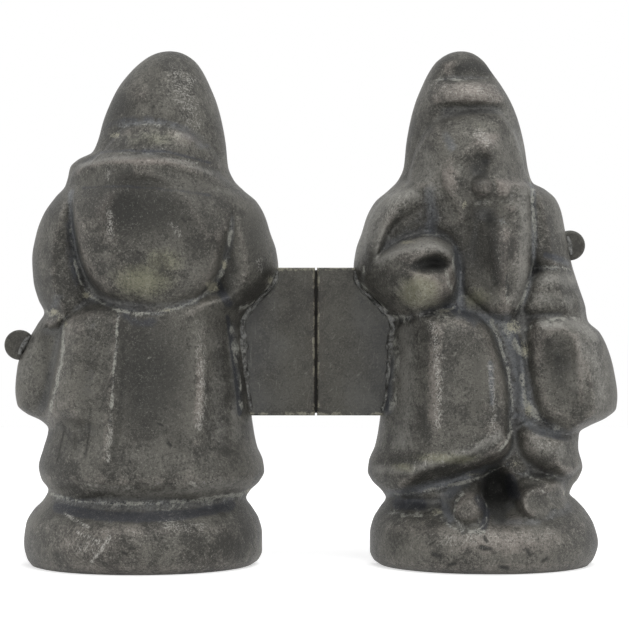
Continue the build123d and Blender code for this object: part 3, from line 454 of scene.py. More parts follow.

# Paler bands, partly painted light on lit faces such as the basket lip's top, the tops of the arms and the
# hood's
# lappet: points as distance and height, half width, amount
back_pale_and_lit = [
    ([(44.5, 97.6), (38.0, 98.6), (31.0, 97.6)], 1.8, 0.55),
    ([(19.5, 54.0), (18.6, 40.0), (18.0, 30.0)], 1.8, 0.6),
    ([(22.6, 52.0), (22.2, 40.0), (21.6, 29.0)], 2.4, 0.5),
    ([(54.0, 92.4), (46.0, 93.2), (37.0, 93.6), (29.0, 92.2), (24.0, 90.4)], 0.8, 0.8),
    ([(66.0, 52.0), (67.4, 44.0)], 2.0, 0.5),
    ([(50.0, 19.0), (40.0, 17.8), (28.0, 18.6), (20.0, 19.4)], 1.3, 0.6)]
front_pale_and_lit = [
    ([(14.0, 22.4), (20.0, 22.8), (28.0, 25.0), (36.0, 27.6), (41.6, 31.0)], 1.4, 0.9),
    ([(47.5, 86.0), (47.6, 76.0), (47.2, 66.0), (45.8, 61.0)], 2.4, 0.8),
    ([(44.0, 104.0), (48.0, 97.0), (49.0, 91.0)], 2.6, 0.7),
    ([(25.0, 96.0), (25.4, 90.0), (27.0, 85.0)], 2.6, 0.5),
    ([(14.5, 70.8), (19.5, 73.4), (25.5, 74.4), (30.0, 73.0)], 1.8, 1.0),
    ([(9.5, 72.0), (12.5, 80.0), (17.0, 84.5), (22.0, 85.6)], 2.4, 0.9),
    ([(13.8, 55.0), (13.0, 40.0), (12.5, 30.0)], 3.2, 0.8),
    ([(20.6, 54.0), (20.6, 40.0), (19.5, 29.0)], 3.0, 0.75),
    ([(13.5, 73.0), (15.0, 79.0), (17.0, 82.0)], 2.8, 0.7), ([(61.0, 51.0), (59.0, 42.0)], 2.6, 0.5),
    ([(51.5, 66.0), (59.0, 66.0)], 2.2, 0.8), ([(50.5, 62.0), (58.0, 61.0)], 2.2, 0.6),
    ([(55.0, 82.0), (57.5, 75.0)], 2.6, 0.4),
    ([(52.0, 56.2), (59.0, 56.4), (64.0, 53.0)], 1.8, 0.9),
    ([(62.5, 50.0), (65.0, 44.0), (64.5, 38.0)], 2.6, 0.6),
    ([(19.0, 64.0), (25.0, 62.5)], 2.6, 0.5), ([(50.0, 29.0), (56.0, 26.5)], 2.0, 0.6),
    ([(30.0, 15.8), (27.0, 17.6)], 1.2, 0.5)]

# Bluish bands in the creases: points as distance and height, half width, amount
back_bluish = [
    ([(56.0, 86.0), (55.6, 76.0), (54.6, 68.0)], 1.2, 0.7),
    ([(52.0, 62.0), (45.0, 59.6), (36.0, 58.4), (27.0, 61.0)], 1.0, 0.6),
    ([(58.5, 62.0), (60.0, 60.0)], 1.6, 0.6),
    ([(19.5, 55.0), (18.5, 45.0), (17.8, 36.0)], 1.4, 0.7),
    ([(26.0, 96.5), (31.0, 100.5), (37.0, 102.0), (45.0, 101.5)], 1.2, 0.6)]
front_bluish = [
    ([(43.5, 56.5), (46.0, 48.0), (47.6, 38.0)], 2.4, 0.95),
    ([(46.5, 35.0), (50.0, 32.0), (55.0, 31.0)], 1.6, 0.8),
    ([(30.0, 59.5), (36.0, 57.5), (42.0, 57.0)], 1.8, 0.85),
    ([(31.5, 73.0), (32.8, 66.0), (33.0, 60.5)], 1.3, 0.9),
    ([(25.8, 86.0), (26.8, 80.0), (26.0, 77.0)], 1.8, 0.8),
    ([(49.6, 88.0), (49.8, 76.0), (49.6, 69.0), (47.4, 61.0)], 0.9, 0.8),
    ([(16.6, 55.0), (17.0, 45.0), (16.5, 36.0)], 1.4, 0.95),
    ([(17.0, 16.8), (24.0, 18.5), (32.0, 20.5), (39.0, 23.0)], 1.5, 0.8),
    ([(30.0, 12.0), (29.0, 16.0), (32.0, 19.0)], 1.4, 0.8),
    ([(40.0, 11.6), (45.0, 11.4), (50.0, 11.6)], 1.2, 0.6),
    ([(29.5, 99.0), (31.0, 96.0)], 1.4, 0.6), ([(46.0, 101.0), (47.5, 96.0)], 1.4, 0.6),
    ([(39.5, 47.0), (39.8, 38.0)], 0.8, 0.9),
    ([(52.4, 71.5), (58.0, 70.0)], 1.0, 0.7)]

# Black stains and pits, and painted shade under the basket lip and the hood's brim, in the hand's pit and
# in the hole between the shoes: points as distance and height, half width, amount
back_black_and_shade = [
    ([(33.2, 29.4), (32.6, 28.8)], 0.4, 1.3), ([(35.4, 33.6), (34.4, 33.2)], 0.3, 1.2),
    ([(40.2, 72.2), (39.4, 71.8)], 0.4, 1.1), ([(43.0, 5.6), (41.8, 5.0)], 0.4, 1.1),
    ([(27.4, 10.4), (26.6, 9.8)], 0.35, 1.0), ([(30.0, 79.6), (29.4, 79.0)], 0.4, 1.0),
    ([(50.6, 37.0), (51.8, 26.0)], 0.35, 0.9), ([(57.2, 33.0), (58.6, 25.0)], 0.35, 0.8),
    ([(52.0, 52.0), (52.6, 40.0)], 1.6, 0.3), ([(30.6, 56.0), (30.0, 40.0), (30.4, 28.0)], 1.6, 0.4),
    ([(43.4, 57.0), (43.4, 45.0), (44.2, 34.0), (45.4, 26.0)], 1.2, 0.6),
    ([(62.2, 53.0), (61.6, 44.0), (62.6, 38.0)], 1.8, 0.6),
    ([(51.0, 89.0), (43.9, 88.4), (35.0, 87.6), (26.0, 86.0)], 2.2, 0.35),
    ([(44.0, 83.0), (36.0, 80.0), (30.0, 79.0)], 5.0, 0.40),
    ([(20.2, 74.0), (18.6, 68.5)], 1.6, 0.7),
    ([(40.0, 52.0), (40.0, 34.0)], 3.6, 0.35),
    ([(31.5, 50.0), (31.0, 30.0)], 2.4, 0.35),
    ([(31.5, 44.0), (31.0, 34.0)], 1.8, 0.3)]
front_black_and_shade = [
    ([(34.0, 13.6), (35.6, 13.4)], 1.6, 0.25),
    ([(40.2, 12.0), (39.8, 15.5)], 1.0, 0.7),
    ([(15.6, 50.0), (15.0, 38.0)], 1.2, 0.35),
    ([(36.0, 50.0), (37.0, 38.0)], 2.4, 0.40),
    ([(33.2, 114.6), (36.2, 115.8), (39.6, 114.4)], 2.1, 0.95),
    ([(28.6, 103.6), (34.1, 104.0), (41.0, 103.4)], 2.2, 0.30),
    ([(28.4, 101.4), (33.0, 101.8), (37.0, 102.6)], 2.2, 0.25),
    ([(36.6, 94.2), (38.4, 92.8), (38.2, 89.4)], 1.2, 0.75),
    ([(35.6, 81.2), (35.8, 74.0), (36.8, 67.4)], 3.2, 0.55),
    ([(39.6, 80.4), (40.6, 72.4), (41.0, 65.4)], 1.9, 0.85),
    ([(29.0, 103.4), (29.8, 99.0)], 1.8, 0.5), ([(40.4, 103.6), (43.0, 101.0)], 1.6, 0.5),
    ([(38.2, 65.4), (39.8, 63.6)], 1.6, 0.6),
    ([(22.0, 68.9), (25.6, 70.0), (29.0, 69.2)], 1.0, 1.1),
    ([(24.4, 68.2), (28.4, 68.0)], 1.2, 0.9),
    ([(27.4, 66.6), (28.4, 65.6)], 0.9, 0.7),
    ([(52.6, 52.0), (53.6, 47.6), (56.6, 48.4)], 1.8, 0.6),
    ([(54.9, 45.5), (56.4, 42.0), (59.0, 40.0)], 1.6, 0.5),
    ([(40.0, 21.6), (40.8, 17.6), (41.4, 12.8)], 1.9, 1.5),
    ([(42.6, 20.4), (43.0, 16.0)], 1.5, 1.3),
    ([(26.2, 4.6), (27.6, 4.2)], 0.6, 1.3), ([(25.4, 6.6), (26.6, 7.4)], 0.35, 1.1),
    ([(36.6, 6.4), (38.8, 6.0)], 0.6, 1.2), ([(37.4, 8.6), (38.0, 7.6)], 0.4, 1.1),
    ([(29.6, 2.2), (31.0, 2.6)], 0.5, 1.2), ([(41.0, 2.0), (42.6, 1.6)], 0.6, 1.2),
    ([(46.8, 5.8), (47.6, 4.6)], 0.5, 1.2), ([(50.6, 3.0), (51.6, 3.6)], 0.5, 0.9),
    ([(33.0, 3.6), (33.6, 2.8)], 0.35, 1.1)]


halves = {
    "back": (back_far_side, back_depth, back_squareness, back_forms, back_lines, back_bumps, back_ledges),
    "front": (front_far_side, front_depth, front_squareness, front_forms, front_lines, front_bumps,
              front_ledges)}
spot_marks = {
    "back": {"worn": back_wear_and_highlight, "green": back_green_and_lit, "sooty": back_soot_and_shade, "cream": back_cream},
    "front": {"worn": front_wear_and_highlight, "green": front_green_and_lit, "sooty": front_soot_and_shade, "cream": front_cream}}
line_marks = {
    "back": {"chalk": back_chalk, "scuff": back_scuffs, "dark": back_dark_and_shade, "black": back_black_and_shade,
             "pale": back_pale_and_lit, "blue": back_bluish},
    "front": {"chalk": front_chalk, "scuff": front_scuffs, "dark": front_dark_and_shade, "black": front_black_and_shade,
              "pale": front_pale_and_lit, "blue": front_bluish}}


def smooth_curve(points, at):
    """Monotone cubic curve through the points, read at the given heights."""
    x, y = np.array(points, float).T
    step = np.diff(x)
    slope = np.diff(y) / step
    before, after = slope[:-1], slope[1:]
    weight_a = 2 * step[1:] + step[:-1]
    weight_b = step[1:] + 2 * step[:-1]
    level = before * after <= 0
    spread = weight_a / np.where(level, 1, before) + weight_b / np.where(level, 1, after)
    tangent = np.zeros(len(x))
    tangent[1:-1] = np.where(level, 0, (weight_a + weight_b) / np.where(level, 1, spread))
    tangent[0], tangent[-1] = slope[0], slope[-1]
    at = np.clip(at, x[0], x[-1])
    i = np.clip(np.searchsorted(x, at) - 1, 0, len(step) - 1)
    t = (at - x[i]) / step[i]
    rise = 3 * t ** 2 - 2 * t ** 3
    return (y[i] + rise * (y[i + 1] - y[i])
            + step[i] * (t * (1 - t) ** 2 * tangent[i] - t ** 2 * (1 - t) * tangent[i + 1]))


def smooth_high(a, b, blend):
    """The higher of two surfaces, with the crease between them rounded."""
    return np.maximum(a, b) + np.clip(blend - np.abs(a - b), 0, None) ** 2 / (4 * blend)


def smooth_low(a, b, blend):
    """The lower of two surfaces, with the edge between them rounded."""
    return -smooth_high(-a, -b, blend)


def rounded_outline(points):
    """An outline with its corners cut twice, which leaves them round."""
    corners = np.array(points, float)
    for _ in range(2):
        following = np.roll(corners, -1, axis=0)
        cut = np.stack([0.75 * corners + 0.25 * following, 0.25 * corners + 0.75 * following], 1)
        corners = cut.reshape(-1, 2)
    return corners


def distance_inside(across, height, outline):
    """Distance from each point to the outline, positive inside it."""
    nearest = np.full(across.shape, np.inf)
    within = np.zeros(across.shape, bool)
    for (u0, z0), (u1, z1) in zip(outline, np.roll(outline, -1, axis=0)):
        du, dz = u1 - u0, z1 - z0
        along = ((across - u0) * du + (height - z0) * dz) / (du ** 2 + dz ** 2)
        along = np.clip(along, 0, 1)
        gap = (across - u0 - along * du) ** 2 + (height - z0 - along * dz) ** 2
        nearest = np.minimum(nearest, gap)
        crosses = (z0 > height) != (z1 > height)
        crossing = u0 + (height - z0) * du / (dz if dz else 1e-9)
        within ^= crosses & (across < crossing)
    return np.where(within, 1, -1) * np.sqrt(nearest)


def tilted_form(name, across, height, form):
    """One raised form with a quarter-round or a sloping edge, and a top that may tilt."""
    outline, foot, top, edge_width = form
    inside = distance_inside(across, height, rounded_outline(outline))
    climb = np.clip(inside / edge_width, 0, 1)
    profile = climb if name in roofed_forms else np.sqrt(np.clip(1 - (1 - climb) ** 2, 0, None))
    per_across, per_up, level_across, level_up = tilts.get(name, (0, 0, 0, 0))
    top = top + per_across * (across - level_across) + per_up * (height - level_up)
    return np.where(inside > 0, foot + (top - foot) * profile, nowhere)


def near_line(across, height, points, width):
    """One beside a line of points, falling away as a bell curve of the distance from it."""
    nearest = np.full(across.shape, np.inf)
    for (u0, z0), (u1, z1) in zip(points, points[1:]):
        du, dz = u1 - u0, z1 - z0
        along = np.clip(((across - u0) * du + (height - z0) * dz) / (du ** 2 + dz ** 2), 0, 1)
        gap = (across - u0 - along * du) ** 2 + (height - z0 - along * dz) ** 2
        nearest = np.minimum(nearest, gap)
    return np.exp(-nearest / width ** 2)


def near_point(across, height, spot):
    """One at a point, falling away as a bell curve over a tilted ellipse."""
    u, z, half_width, half_height, tilt, power = spot
    cos, sin = math.cos(math.radians(tilt)), math.sin(math.radians(tilt))
    up = ((across - u) * sin + (height - z) * cos) / half_height
    aside = ((across - u) * cos - (height - z) * sin) / half_width
    return np.exp(-(up ** 2 + aside ** 2) ** (power / 2))


def near_ledge(across, height, ledge):
    """One at a level edge, a short slope to nought past it and a long one on its other side."""
    u, z, half_width, reach = ledge
    beyond = (height - z) * math.copysign(1, reach)
    slope = np.clip(1 - beyond / abs(reach), 0, 1) * np.clip(1 + beyond / ledge_edge, 0, 1)
    return slope * np.exp(-((across - u) / half_width) ** 4)


def relief(across, height, half):
    """Depth of the outside: a squared ellipse across, the raised forms on it, then lines and bumps
    that come in where the body is deep enough."""
    far_side, depth, squareness, forms, lines, bumps, ledges = halves[half]
    near = smooth_curve(hinge_side, height)
    far = smooth_curve(far_side, height)
    place = np.abs(2 * across - near - far) / np.maximum(far - near, least_depth)
    fall = np.clip(1 - place ** smooth_curve(squareness, height), 0, None)
    surface = smooth_curve(depth, height) * np.sqrt(fall)
    from_rim = np.clip(np.minimum(across - near, far - across), 0, None)
    rim_limit = np.sqrt(2 * rim_round * from_rim)
    for name, form in forms.items():
        raised = smooth_low(tilted_form(name, across, height, form), rim_limit, form_blend)
        surface = smooth_high(surface, raised, wide_blends.get(name, form_blend))
    finer = np.zeros(across.shape)
    for points, width, rise in lines:
        finer = finer + rise * near_line(across, height, points, width)
    for *spot, rise in bumps:
        finer = finer + rise * near_point(across, height, spot)
    for *ledge, drop in ledges:
        finer = finer - drop * near_ledge(across, height, ledge)
    return surface + finer * np.clip(surface / detail_depth - 1, 0, 1)


def ripple(across, height, size, seed):
    """Even, soft unevenness: random values on a square lattice, joined by smooth steps."""
    lattice = np.random.default_rng(seed).uniform(-1, 1, (160, 160))
    u, z = across / size, height / size
    i, j = np.floor(u).astype(int), np.floor(z).astype(int)
    s, t = u - i, z - j
    s, t = s * s * (3 - 2 * s), t * t * (3 - 2 * t)
    i, j = i % 159, j % 159
    low = lattice[i, j] * (1 - s) + lattice[i + 1, j] * s
    high = lattice[i, j + 1] * (1 - s) + lattice[i + 1, j + 1] * s
    return low * (1 - t) + high * t


def softened(depth, times):
    """The depths, averaged in place with their neighbours, up and across."""
    for _ in range(times):
        depth[1:-1] = (depth[:-2] + 2 * depth[1:-1] + depth[2:]) / 4
        depth[:, 1:-1] = (depth[:, :-2] + 2 * depth[:, 1:-1] + depth[:, 2:]) / 4
    return depth


def outside_grid(half):
    """Rows of the outside, from the foot to a rounded tip, and how far inward from the rim they lie."""
    far_side = halves[half][0]
    shape = bpy.context.scene.mold_shape
    # the tip closes as a rounded cap, on rows that crowd towards its top
    below_cap = np.linspace(0, cap_bottom, rows_up - cap_rows)
    close = np.linspace(1, 0, cap_rows + 1)[1:]
    height = np.concatenate([below_cap, drawn_height - (drawn_height - cap_bottom) * close ** 2])
    close = np.concatenate([np.ones(below_cap.size), close ** 0.9])
    held = np.minimum(height, cap_bottom)
    near = tip_distance - (tip_distance - smooth_curve(hinge_side, held)) * close
    far = tip_distance + (smooth_curve(far_side, held) - tip_distance) * close
    turn = np.linspace(0, math.pi, rows_across)
    across = (near + far)[:, None] / 2 - (far - near)[:, None] / 2 * np.cos(turn)
    up = np.repeat(height[:, None], rows_across, 1)
    whole_across = tip_distance + (across - tip_distance) / np.maximum(close[:, None], 0.02)
    whole_up = np.repeat(held[:, None], rows_across, 1)
    depth = relief(whole_across, whole_up, half) * close[:, None]
    depth = softened(np.maximum(depth, rim_gap), softening)
    inward = np.clip(np.minimum(across - near[:, None], far[:, None] - across) / rim_fade, 0, 1)
    for seed, (size, rise) in enumerate(ripples, first_ripple_seed[half]):
        depth = depth + shape.unevenness * rise * inward * ripple(across, up, size, seed)
    pits = np.clip(ripple(across, up, pit_size, pit_seed) - (1 - pit_share), 0, None) / pit_share
    patches = np.clip(ripple(across, up, patch_size, patch_seed), 0, 1)
    depth = depth - shape.pit_depth / MM * pits * patches * inward
    depth = np.maximum(depth, rim_gap)
    depth[:, [0, -1]] = rim_gap
    reach = pin_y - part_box(half + "_shell")[0].y / MM
    depth = depth * min(1.0, reach / depth.max())
    return across, up, depth, inward


def finish_marks(half, across, up, depth, inward):
    """How much lower or higher than its averaged surroundings each point is, and its marks of wear, tint,
    stain, and painted highlight and shade.
    """
    fine = softened(depth.copy(), near_by) - depth
    wide = softened(depth.copy(), farther_off) - depth
    marks = {
        "crease": np.clip(fine / crease_depth, 0, 1) * inward,
        "hollow": np.clip(wide / hollow_depth, 0, 1) * inward,
        "ridge": np.clip(-fine / crease_depth, 0, 1) * inward,
        "crest": np.clip(-wide / crest_height, 0, 1) * inward}
    for name, spots in spot_marks[half].items():
        marks[name] = np.zeros(across.shape)
        for *spot, amount in spots:
            shown = amount * near_point(across, up, (*spot, 0, 2))
            marks[name] = np.maximum(marks[name], shown)
    for name, lines in line_marks[half].items():
        marks[name] = np.zeros(across.shape)
        for points, half_width, amount in lines:
            shown = amount * near_line(across, up, points, half_width)
            marks[name] = np.maximum(marks[name], shown)
    return marks


def cavity_grid(half, height):
    """Rows of the hollow: the outside worn down evenly by the wall."""
    near = smooth_curve(hinge_side, height) + wall
    far = np.minimum(smooth_curve(back_far_side, height), smooth_curve(front_far_side, height)) - wall
    turn = np.linspace(0, math.pi, (rows_across + 1) // 2)
    across = (near + far)[:, None] / 2 - (far - near)[:, None] / 2 * np.cos(turn)
    up = np.repeat(height[:, None], turn.size, 1)
    reach = wear_reach * wall
    lowest = relief(across, up, half)
    for step in range(8):
        angle = step * math.pi / 4
        aside = across + reach * math.cos(angle)
        above = np.clip(up + reach * math.sin(angle), 0, drawn_height)
        lowest = np.minimum(lowest, relief(aside, above, half))
    from_rim = np.clip(np.minimum(across - near[:, None], far[:, None] - across), 0, None)
    rim_limit = cavity_round * np.sqrt(2 * rim_round * from_rim)
    depth = smooth_low(np.maximum(lowest - wear_depth * wall, least_depth), rim_limit, form_blend)
    # the roof of the hollow rounds over
    below_roof = np.clip((height[-1] - height) / wall, 0, 1)
    depth = depth * np.sqrt(1 - (1 - below_roof[:, None]) ** 2)
    depth = softened(np.maximum(depth, rim_gap), softening)
    depth[:, [0, -1]] = rim_gap
    return across, up, depth


def placed(side, across, depth, height):
    """Points in the part's frame, in metres, from distance, depth and height."""
    points = np.stack([side * across + pin_x, pin_y - depth, height], -1)
    return points.reshape(-1, 3) * MM


def grid_triangles(index):
    """Two triangles for each cell of a grid of vertex numbers."""
    a, b, c, d = index[:-1, :-1], index[1:, :-1], index[1:, 1:], index[:-1, 1:]
    return np.concatenate([np.stack([a, b, c], -1).reshape(-1, 3), np.stack([a, c, d], -1).reshape(-1, 3)])


def strip_triangles(fine, coarse):
    """Joins a row of vertices to a row half as dense, three triangles for each coarse step."""
    first, middle, last = fine[:-2:2], fine[1:-1:2], fine[2::2]
    low, high = coarse[:-1], coarse[1:]
    return np.concatenate([np.stack([first, middle, low], -1), np.stack([middle, high, low], -1),
                           np.stack([middle, last, high], -1)])


def make_mesh(name, points, triangles, marks=None, sharp=40):
    """A mesh object from points and triangles, smooth except at sharp edges."""
    flat = (triangles[:, 0] == triangles[:, 1]) | (triangles[:, 1] == triangles[:, 2])
    flat |= triangles[:, 0] == triangles[:, 2]
    triangles = triangles[~flat]
    used, place = np.unique(triangles, return_inverse=True)
    points = points[used]
    triangles = place.reshape(triangles.shape)
    a, b, c = (points[triangles[:, corner]] for corner in range(3))
    if np.einsum("ij,ij->", a, np.cross(b, c)) < 0:
        triangles = triangles[:, ::-1]
    mesh = bpy.data.meshes.new(name)
    mesh.vertices.add(len(points))
    mesh.vertices.foreach_set("co", np.ascontiguousarray(points, np.float32).ravel())
    mesh.loops.add(triangles.size)
    mesh.loops.foreach_set("vertex_index", triangles.astype(np.int32).ravel())
    mesh.polygons.add(len(triangles))
    mesh.polygons.foreach_set("loop_start", np.arange(0, triangles.size, 3, dtype=np.int32))
    mesh.polygons.foreach_set("use_smooth", np.ones(len(triangles), bool))
    mesh.update(calc_edges=True)
    for mark, values in (marks or {}).items():
        layer = mesh.attributes.new(mark, "FLOAT", "POINT")
        layer.data.foreach_set("value", np.ascontiguousarray(values.ravel()[used], np.float32))
    mesh.set_sharp_from_angle(angle=math.radians(sharp))
    piece = bpy.data.objects.new(name, mesh)
    bpy.context.scene.collection.objects.link(piece)
    return piece


def shell_piece(half):
    """One cast half: outside, hollow, parting face and foot ring in one closed surface."""
    side = sides[half]
    across, up, depth, inward = outside_grid(half)
    marks = finish_marks(half, across, up, depth, inward)
    roof = drawn_height - roof_share * wall
    inner_across, inner_up, inner_depth = cavity_grid(half, up[::2, 0] * roof / drawn_height)
    outer = np.arange(across.size).reshape(across.shape)
    inner = np.arange(inner_across.size).reshape(inner_across.shape) + across.size
    points = np.concatenate([placed(side, across, depth, up),
                             placed(side, inner_across, inner_depth, inner_up)])
    # each top row closes on one vertex
    tip = outer[-1, rows_across // 2]
    points[tip] = placed(side, np.array([tip_distance]), np.array([rim_gap]), np.array([drawn_height]))
    outer[-1] = tip
    crown = inner[-1, inner.shape[1] // 2]
    points[crown] = placed(side, np.array([tip_distance]), np.array([rim_gap]), np.array([roof]))
    inner[-1] = crown
    outside = grid_triangles(outer)
    hollow = grid_triangles(inner)[:, ::-1]
    near_rim = strip_triangles(outer[:, 0], inner[:, 0])
    far_rim = strip_triangles(outer[:, -1], inner[:, -1])[:, ::-1]
    foot = strip_triangles(outer[0], inner[0])[:, ::-1]
    triangles = np.concatenate([outside, hollow, near_rim, far_rim, foot])
    padding = np.zeros(inner_across.size)
    marks = {name: np.concatenate([values.ravel(), padding]) for name, values in marks.items()}
    marks["inside"] = np.concatenate([np.zeros(across.size), padding + 1])
    piece = make_mesh(half + "_cast_shell", points, triangles, marks)
    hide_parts(half + "_shell")
    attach(piece, half + "_half")
    return piece


def solder_run(half):
    """Solder along the corner of a leaf and its shell: a tube whose radius swells into lumps."""
    name = half + "_leaf_solder"
    lowest, highest = (np.array(corner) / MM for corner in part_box(name))
    height = np.linspace(lowest[2], highest[2], solder_rows)
    across = smooth_curve(hinge_side, height)[:, None] + np.linspace(0, corner_reach, corner_steps)
    deep = relief(across, np.repeat(height[:, None], corner_steps, 1), half) > leaf_face
    corner = across[np.arange(solder_rows), deep.argmax(1)][:, None]
    turn = np.linspace(0, 2 * math.pi, solder_sides + 1)[:-1]
    up = np.repeat(height[:, None], solder_sides, 1)
    plain_radius = bpy.context.scene.mold_shape.solder_radius / MM
    wound = np.cos(turn) * plain_radius * 2
    share = plain_share
    for seed, (size, swell) in enumerate(lumps, first_lump_seed):
        share = share + swell * ripple(wound, up, size, seed)
    ends = np.sqrt(1 - np.abs(np.linspace(-1, 1, solder_rows)) ** 8)[:, None]
    radius = plain_radius * np.clip(share, least_share, most_share) * ends
    depth = leaf_face + np.maximum(solder_height * radius * np.sin(turn), -solder_sunk)
    points = placed(sides[half], corner + radius * np.cos(turn), depth, up)
    points = np.clip(points, lowest * MM, highest * MM)
    index = np.arange(up.size).reshape(up.shape)
    index = np.concatenate([index, index[:, :1]], 1)
    index[[0, -1]] = index[[0, -1], :1]
    piece = make_mesh(half + "_solder_run", points, grid_triangles(index), sharp=60)
    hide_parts(name)
    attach(piece, half + "_half")
    return piece


class Value:
    """One number that changes over a surface, as a node's socket that can be used in sums."""

    def __init__(self, graph, socket):
        self.graph = graph
        self.socket = socket

    def __add__(self, other):
        return self.graph.maths("ADD", self, other)

    def __sub__(self, other):
        return self.graph.maths("SUBTRACT", self, other)

    def __rsub__(self, other):
        return self.graph.maths("SUBTRACT", other, self)

    def __mul__(self, other):
        return self.graph.maths("MULTIPLY", self, other)

    __radd__ = __add__
    __rmul__ = __mul__

    def size_of(self):
        """The value without its sign."""
        return self.graph.maths("ABSOLUTE", self, 0.0)

    def step(self, low, high):
        """Nought below low, one above high, and smooth between them."""
        settings = {"interpolation_type": "SMOOTHSTEP"}
        return self.graph.node("ShaderNodeMapRange", settings, {0: self, 1: low, 2: high})


class Graph:
    """The nodes of one material, or of the world."""

    def __init__(self, owner):
        owner.use_nodes = True
        self.tree = owner.node_tree
        self.tree.nodes.clear()

    def node(self, kind, settings, sockets, output=0):
        """A node of one kind, with its settings made first and then its sockets filled."""
        made = self.tree.nodes.new(kind)
        for name, value in settings.items():
            setattr(made, name, value)
        for key, value in sockets.items():
            if isinstance(value, Value):
                self.tree.links.new(value.socket, made.inputs[key])
            else:
                made.inputs[key].default_value = value
        return Value(self, made.outputs[output]) if made.outputs else None

    @functools.cached_property
    def place(self):
        """The place on the object."""
        return self.node("ShaderNodeTexCoord", {}, {}, "Object")

    def maths(self, operation, first, second):
        """One sum of two numbers."""
        return self.node("ShaderNodeMath", {"operation": operation}, {0: first, 1: second})

    def turned(self, turn):
        """The place on the object, turned."""
        return self.node("ShaderNodeMapping", {}, {"Vector": self.place, "Rotation": turn})

    def along(self, axis):
        """How far along one axis of the object a point lies, in millimetres."""
        return self.node("ShaderNodeSeparateXYZ", {}, {0: self.place}, axis) * (1 / MM)

    def noise(self, size, detail=4.0, roughness=0.6, twist=0.0, place=None):
        """Cloudy noise about 0.5, whose largest blotches are about this many millimetres."""
        return self.node("ShaderNodeTexNoise", {"noise_dimensions": "3D"},
                         {"Vector": place or self.place, "Scale": 1 / (size * MM), "Detail": detail,
                          "Roughness": roughness, "Distortion": twist})

    def strokes(self, width, length, turns):
        """Short strokes of noise that lie in a few directions over the face of the object."""
        highest = None
        for turn in turns:
            drawn = {"Vector": self.place, "Rotation": (0, turn, 0.3 * turn), "Scale": (1, 1, length)}
            place = self.node("ShaderNodeMapping", {"vector_type": "TEXTURE"}, drawn)
            lying = self.noise(width, 2, 0.6, 0.4, place)
            highest = lying if highest is None else self.maths("MAXIMUM", highest, lying)
        return highest

    def mark(self, name):
        """A mark that the mesh carries."""
        return self.node("ShaderNodeAttribute", {"attribute_name": name}, {}, "Fac")

    def blend(self, share, low, high):
        """Two colours mixed by a share."""
        return self.node("ShaderNodeMix", {"data_type": "RGBA"}, {0: share, 6: low, 7: high}, 2)

    def layered(self, colour, layers):
        """A colour with others laid over it in order, each by its share."""
        for share, over in layers:
            colour = self.blend(share, colour, over)
        return colour

    def seen(self):
        """One for what the camera sees, straight or in a reflection or through glass."""
        straight, mirrored, through = (self.node("ShaderNodeLightPath", {}, {}, "Is " + ray + " Ray")
                                       for ray in ("Camera", "Glossy", "Transmission"))
        return self.maths("MAXIMUM", self.maths("MAXIMUM", straight, mirrored), through)

    def finish(self, colour, roughness, metallic, height, bump):
        """The surface of a metal, with the bumps in millimetres."""
        normal = self.node("ShaderNodeBump", {}, {"Strength": 1.0, "Distance": bump * MM, "Height": height})
        surface = self.node("ShaderNodeBsdfPrincipled", {},
                            {"Base Color": colour, "Roughness": roughness, "Metallic": metallic,
                             "Normal": normal})
        self.node("ShaderNodeOutputMaterial", {}, {"Surface": surface})


def pewter_masks(graph):
    """The clouds, the marks of the mesh and the masks that the old pewter is mixed by."""
    masks = SimpleNamespace(
        broad=graph.noise(16, 3, 0.5), mottle=graph.noise(5.0, 6, 0.65, 0.4),
        blotch=graph.noise(1.8, 6, 0.75, 0.8), grain=graph.noise(0.55, 3, 0.85),
        speckle=graph.noise(0.25, 2, 0.85), fibres=graph.noise(1.1, 6, 0.75, 2.4))
    for name in ("crease", "hollow", "ridge", "crest", "inside", *spot_marks["back"], *line_marks["back"]):
        setattr(masks, name, graph.mark(name))
    coarse = (masks.mottle - 0.5) * 1.2 + (masks.blotch - 0.5) * 0.8 + (masks.broad - 0.5) * 1.3
    fine = (masks.grain - 0.5) * 0.8 + (masks.speckle - 0.5) * 0.6
    masks.tone = (coarse + fine + 0.5).step(0.22, 0.80)
    masks.ragged = (masks.mottle - 0.5) * 0.8 + (masks.blotch - 0.5) * 0.9 + (masks.grain - 0.5) * 0.5
    masks.broken = masks.ragged * 1.3 + (masks.fibres - 0.5) * 2.4
    # Raised places and the worn spots are made lighter: real wear, and painted highlight on ridges and lit
    # faces
    raised = masks.worn * 0.80 + masks.crest * 0.25 + masks.ridge * 0.20
    masks.rubbed = (raised + masks.ragged * 0.9 + fine * 0.3).step(0.18, 0.95)
    patchy = graph.noise(4.5, 2, 0.5, 1.0, graph.turned((0.4, 0.2, 0.9)))
    chalked = masks.chalk + masks.ragged * 1.3 + (patchy - 0.5) * 2.2
    masks.core = (chalked - masks.sooty * 0.2).step(0.55, 1.05)
    open_to_scratches = masks.blotch * 0.6 + masks.mottle * 0.5 + masks.scuff * 0.4
    strokes = graph.strokes(0.34, 9.0, (0.5, 1.6, 2.7))
    masks.lines = ((strokes + masks.scuff * 0.05).step(0.60, 0.68)
                   * (open_to_scratches - masks.sooty * 0.12 - masks.black * 0.4).step(0.50, 0.80))
    masks.pits = (1 - masks.grain).step(0.52, 0.64) * (1 - masks.speckle).step(0.45, 0.56)
    return masks


def wear_layers(masks, look):
    """Rubbed bright where it stands out, partly as painted highlight; tarnished and painted with shade in
    its hollows; bluish or pale in bands, the pale bands partly painted light.
    """
    tarnish_and_shade = (masks.hollow * 0.7 + masks.crease * 0.1 + masks.ragged * 0.8).step(0.30, 0.95)
    return [(masks.rubbed * 0.75, look.pewter_worn),
            (tarnish_and_shade * 0.35, look.pewter_blue),
            ((masks.blue + masks.ragged).step(0.25, 0.95) * 0.75, look.bluish),
            ((masks.pale * 0.9 + masks.ragged * 0.9).step(0.15, 1.0) * 0.88, look.pale)]


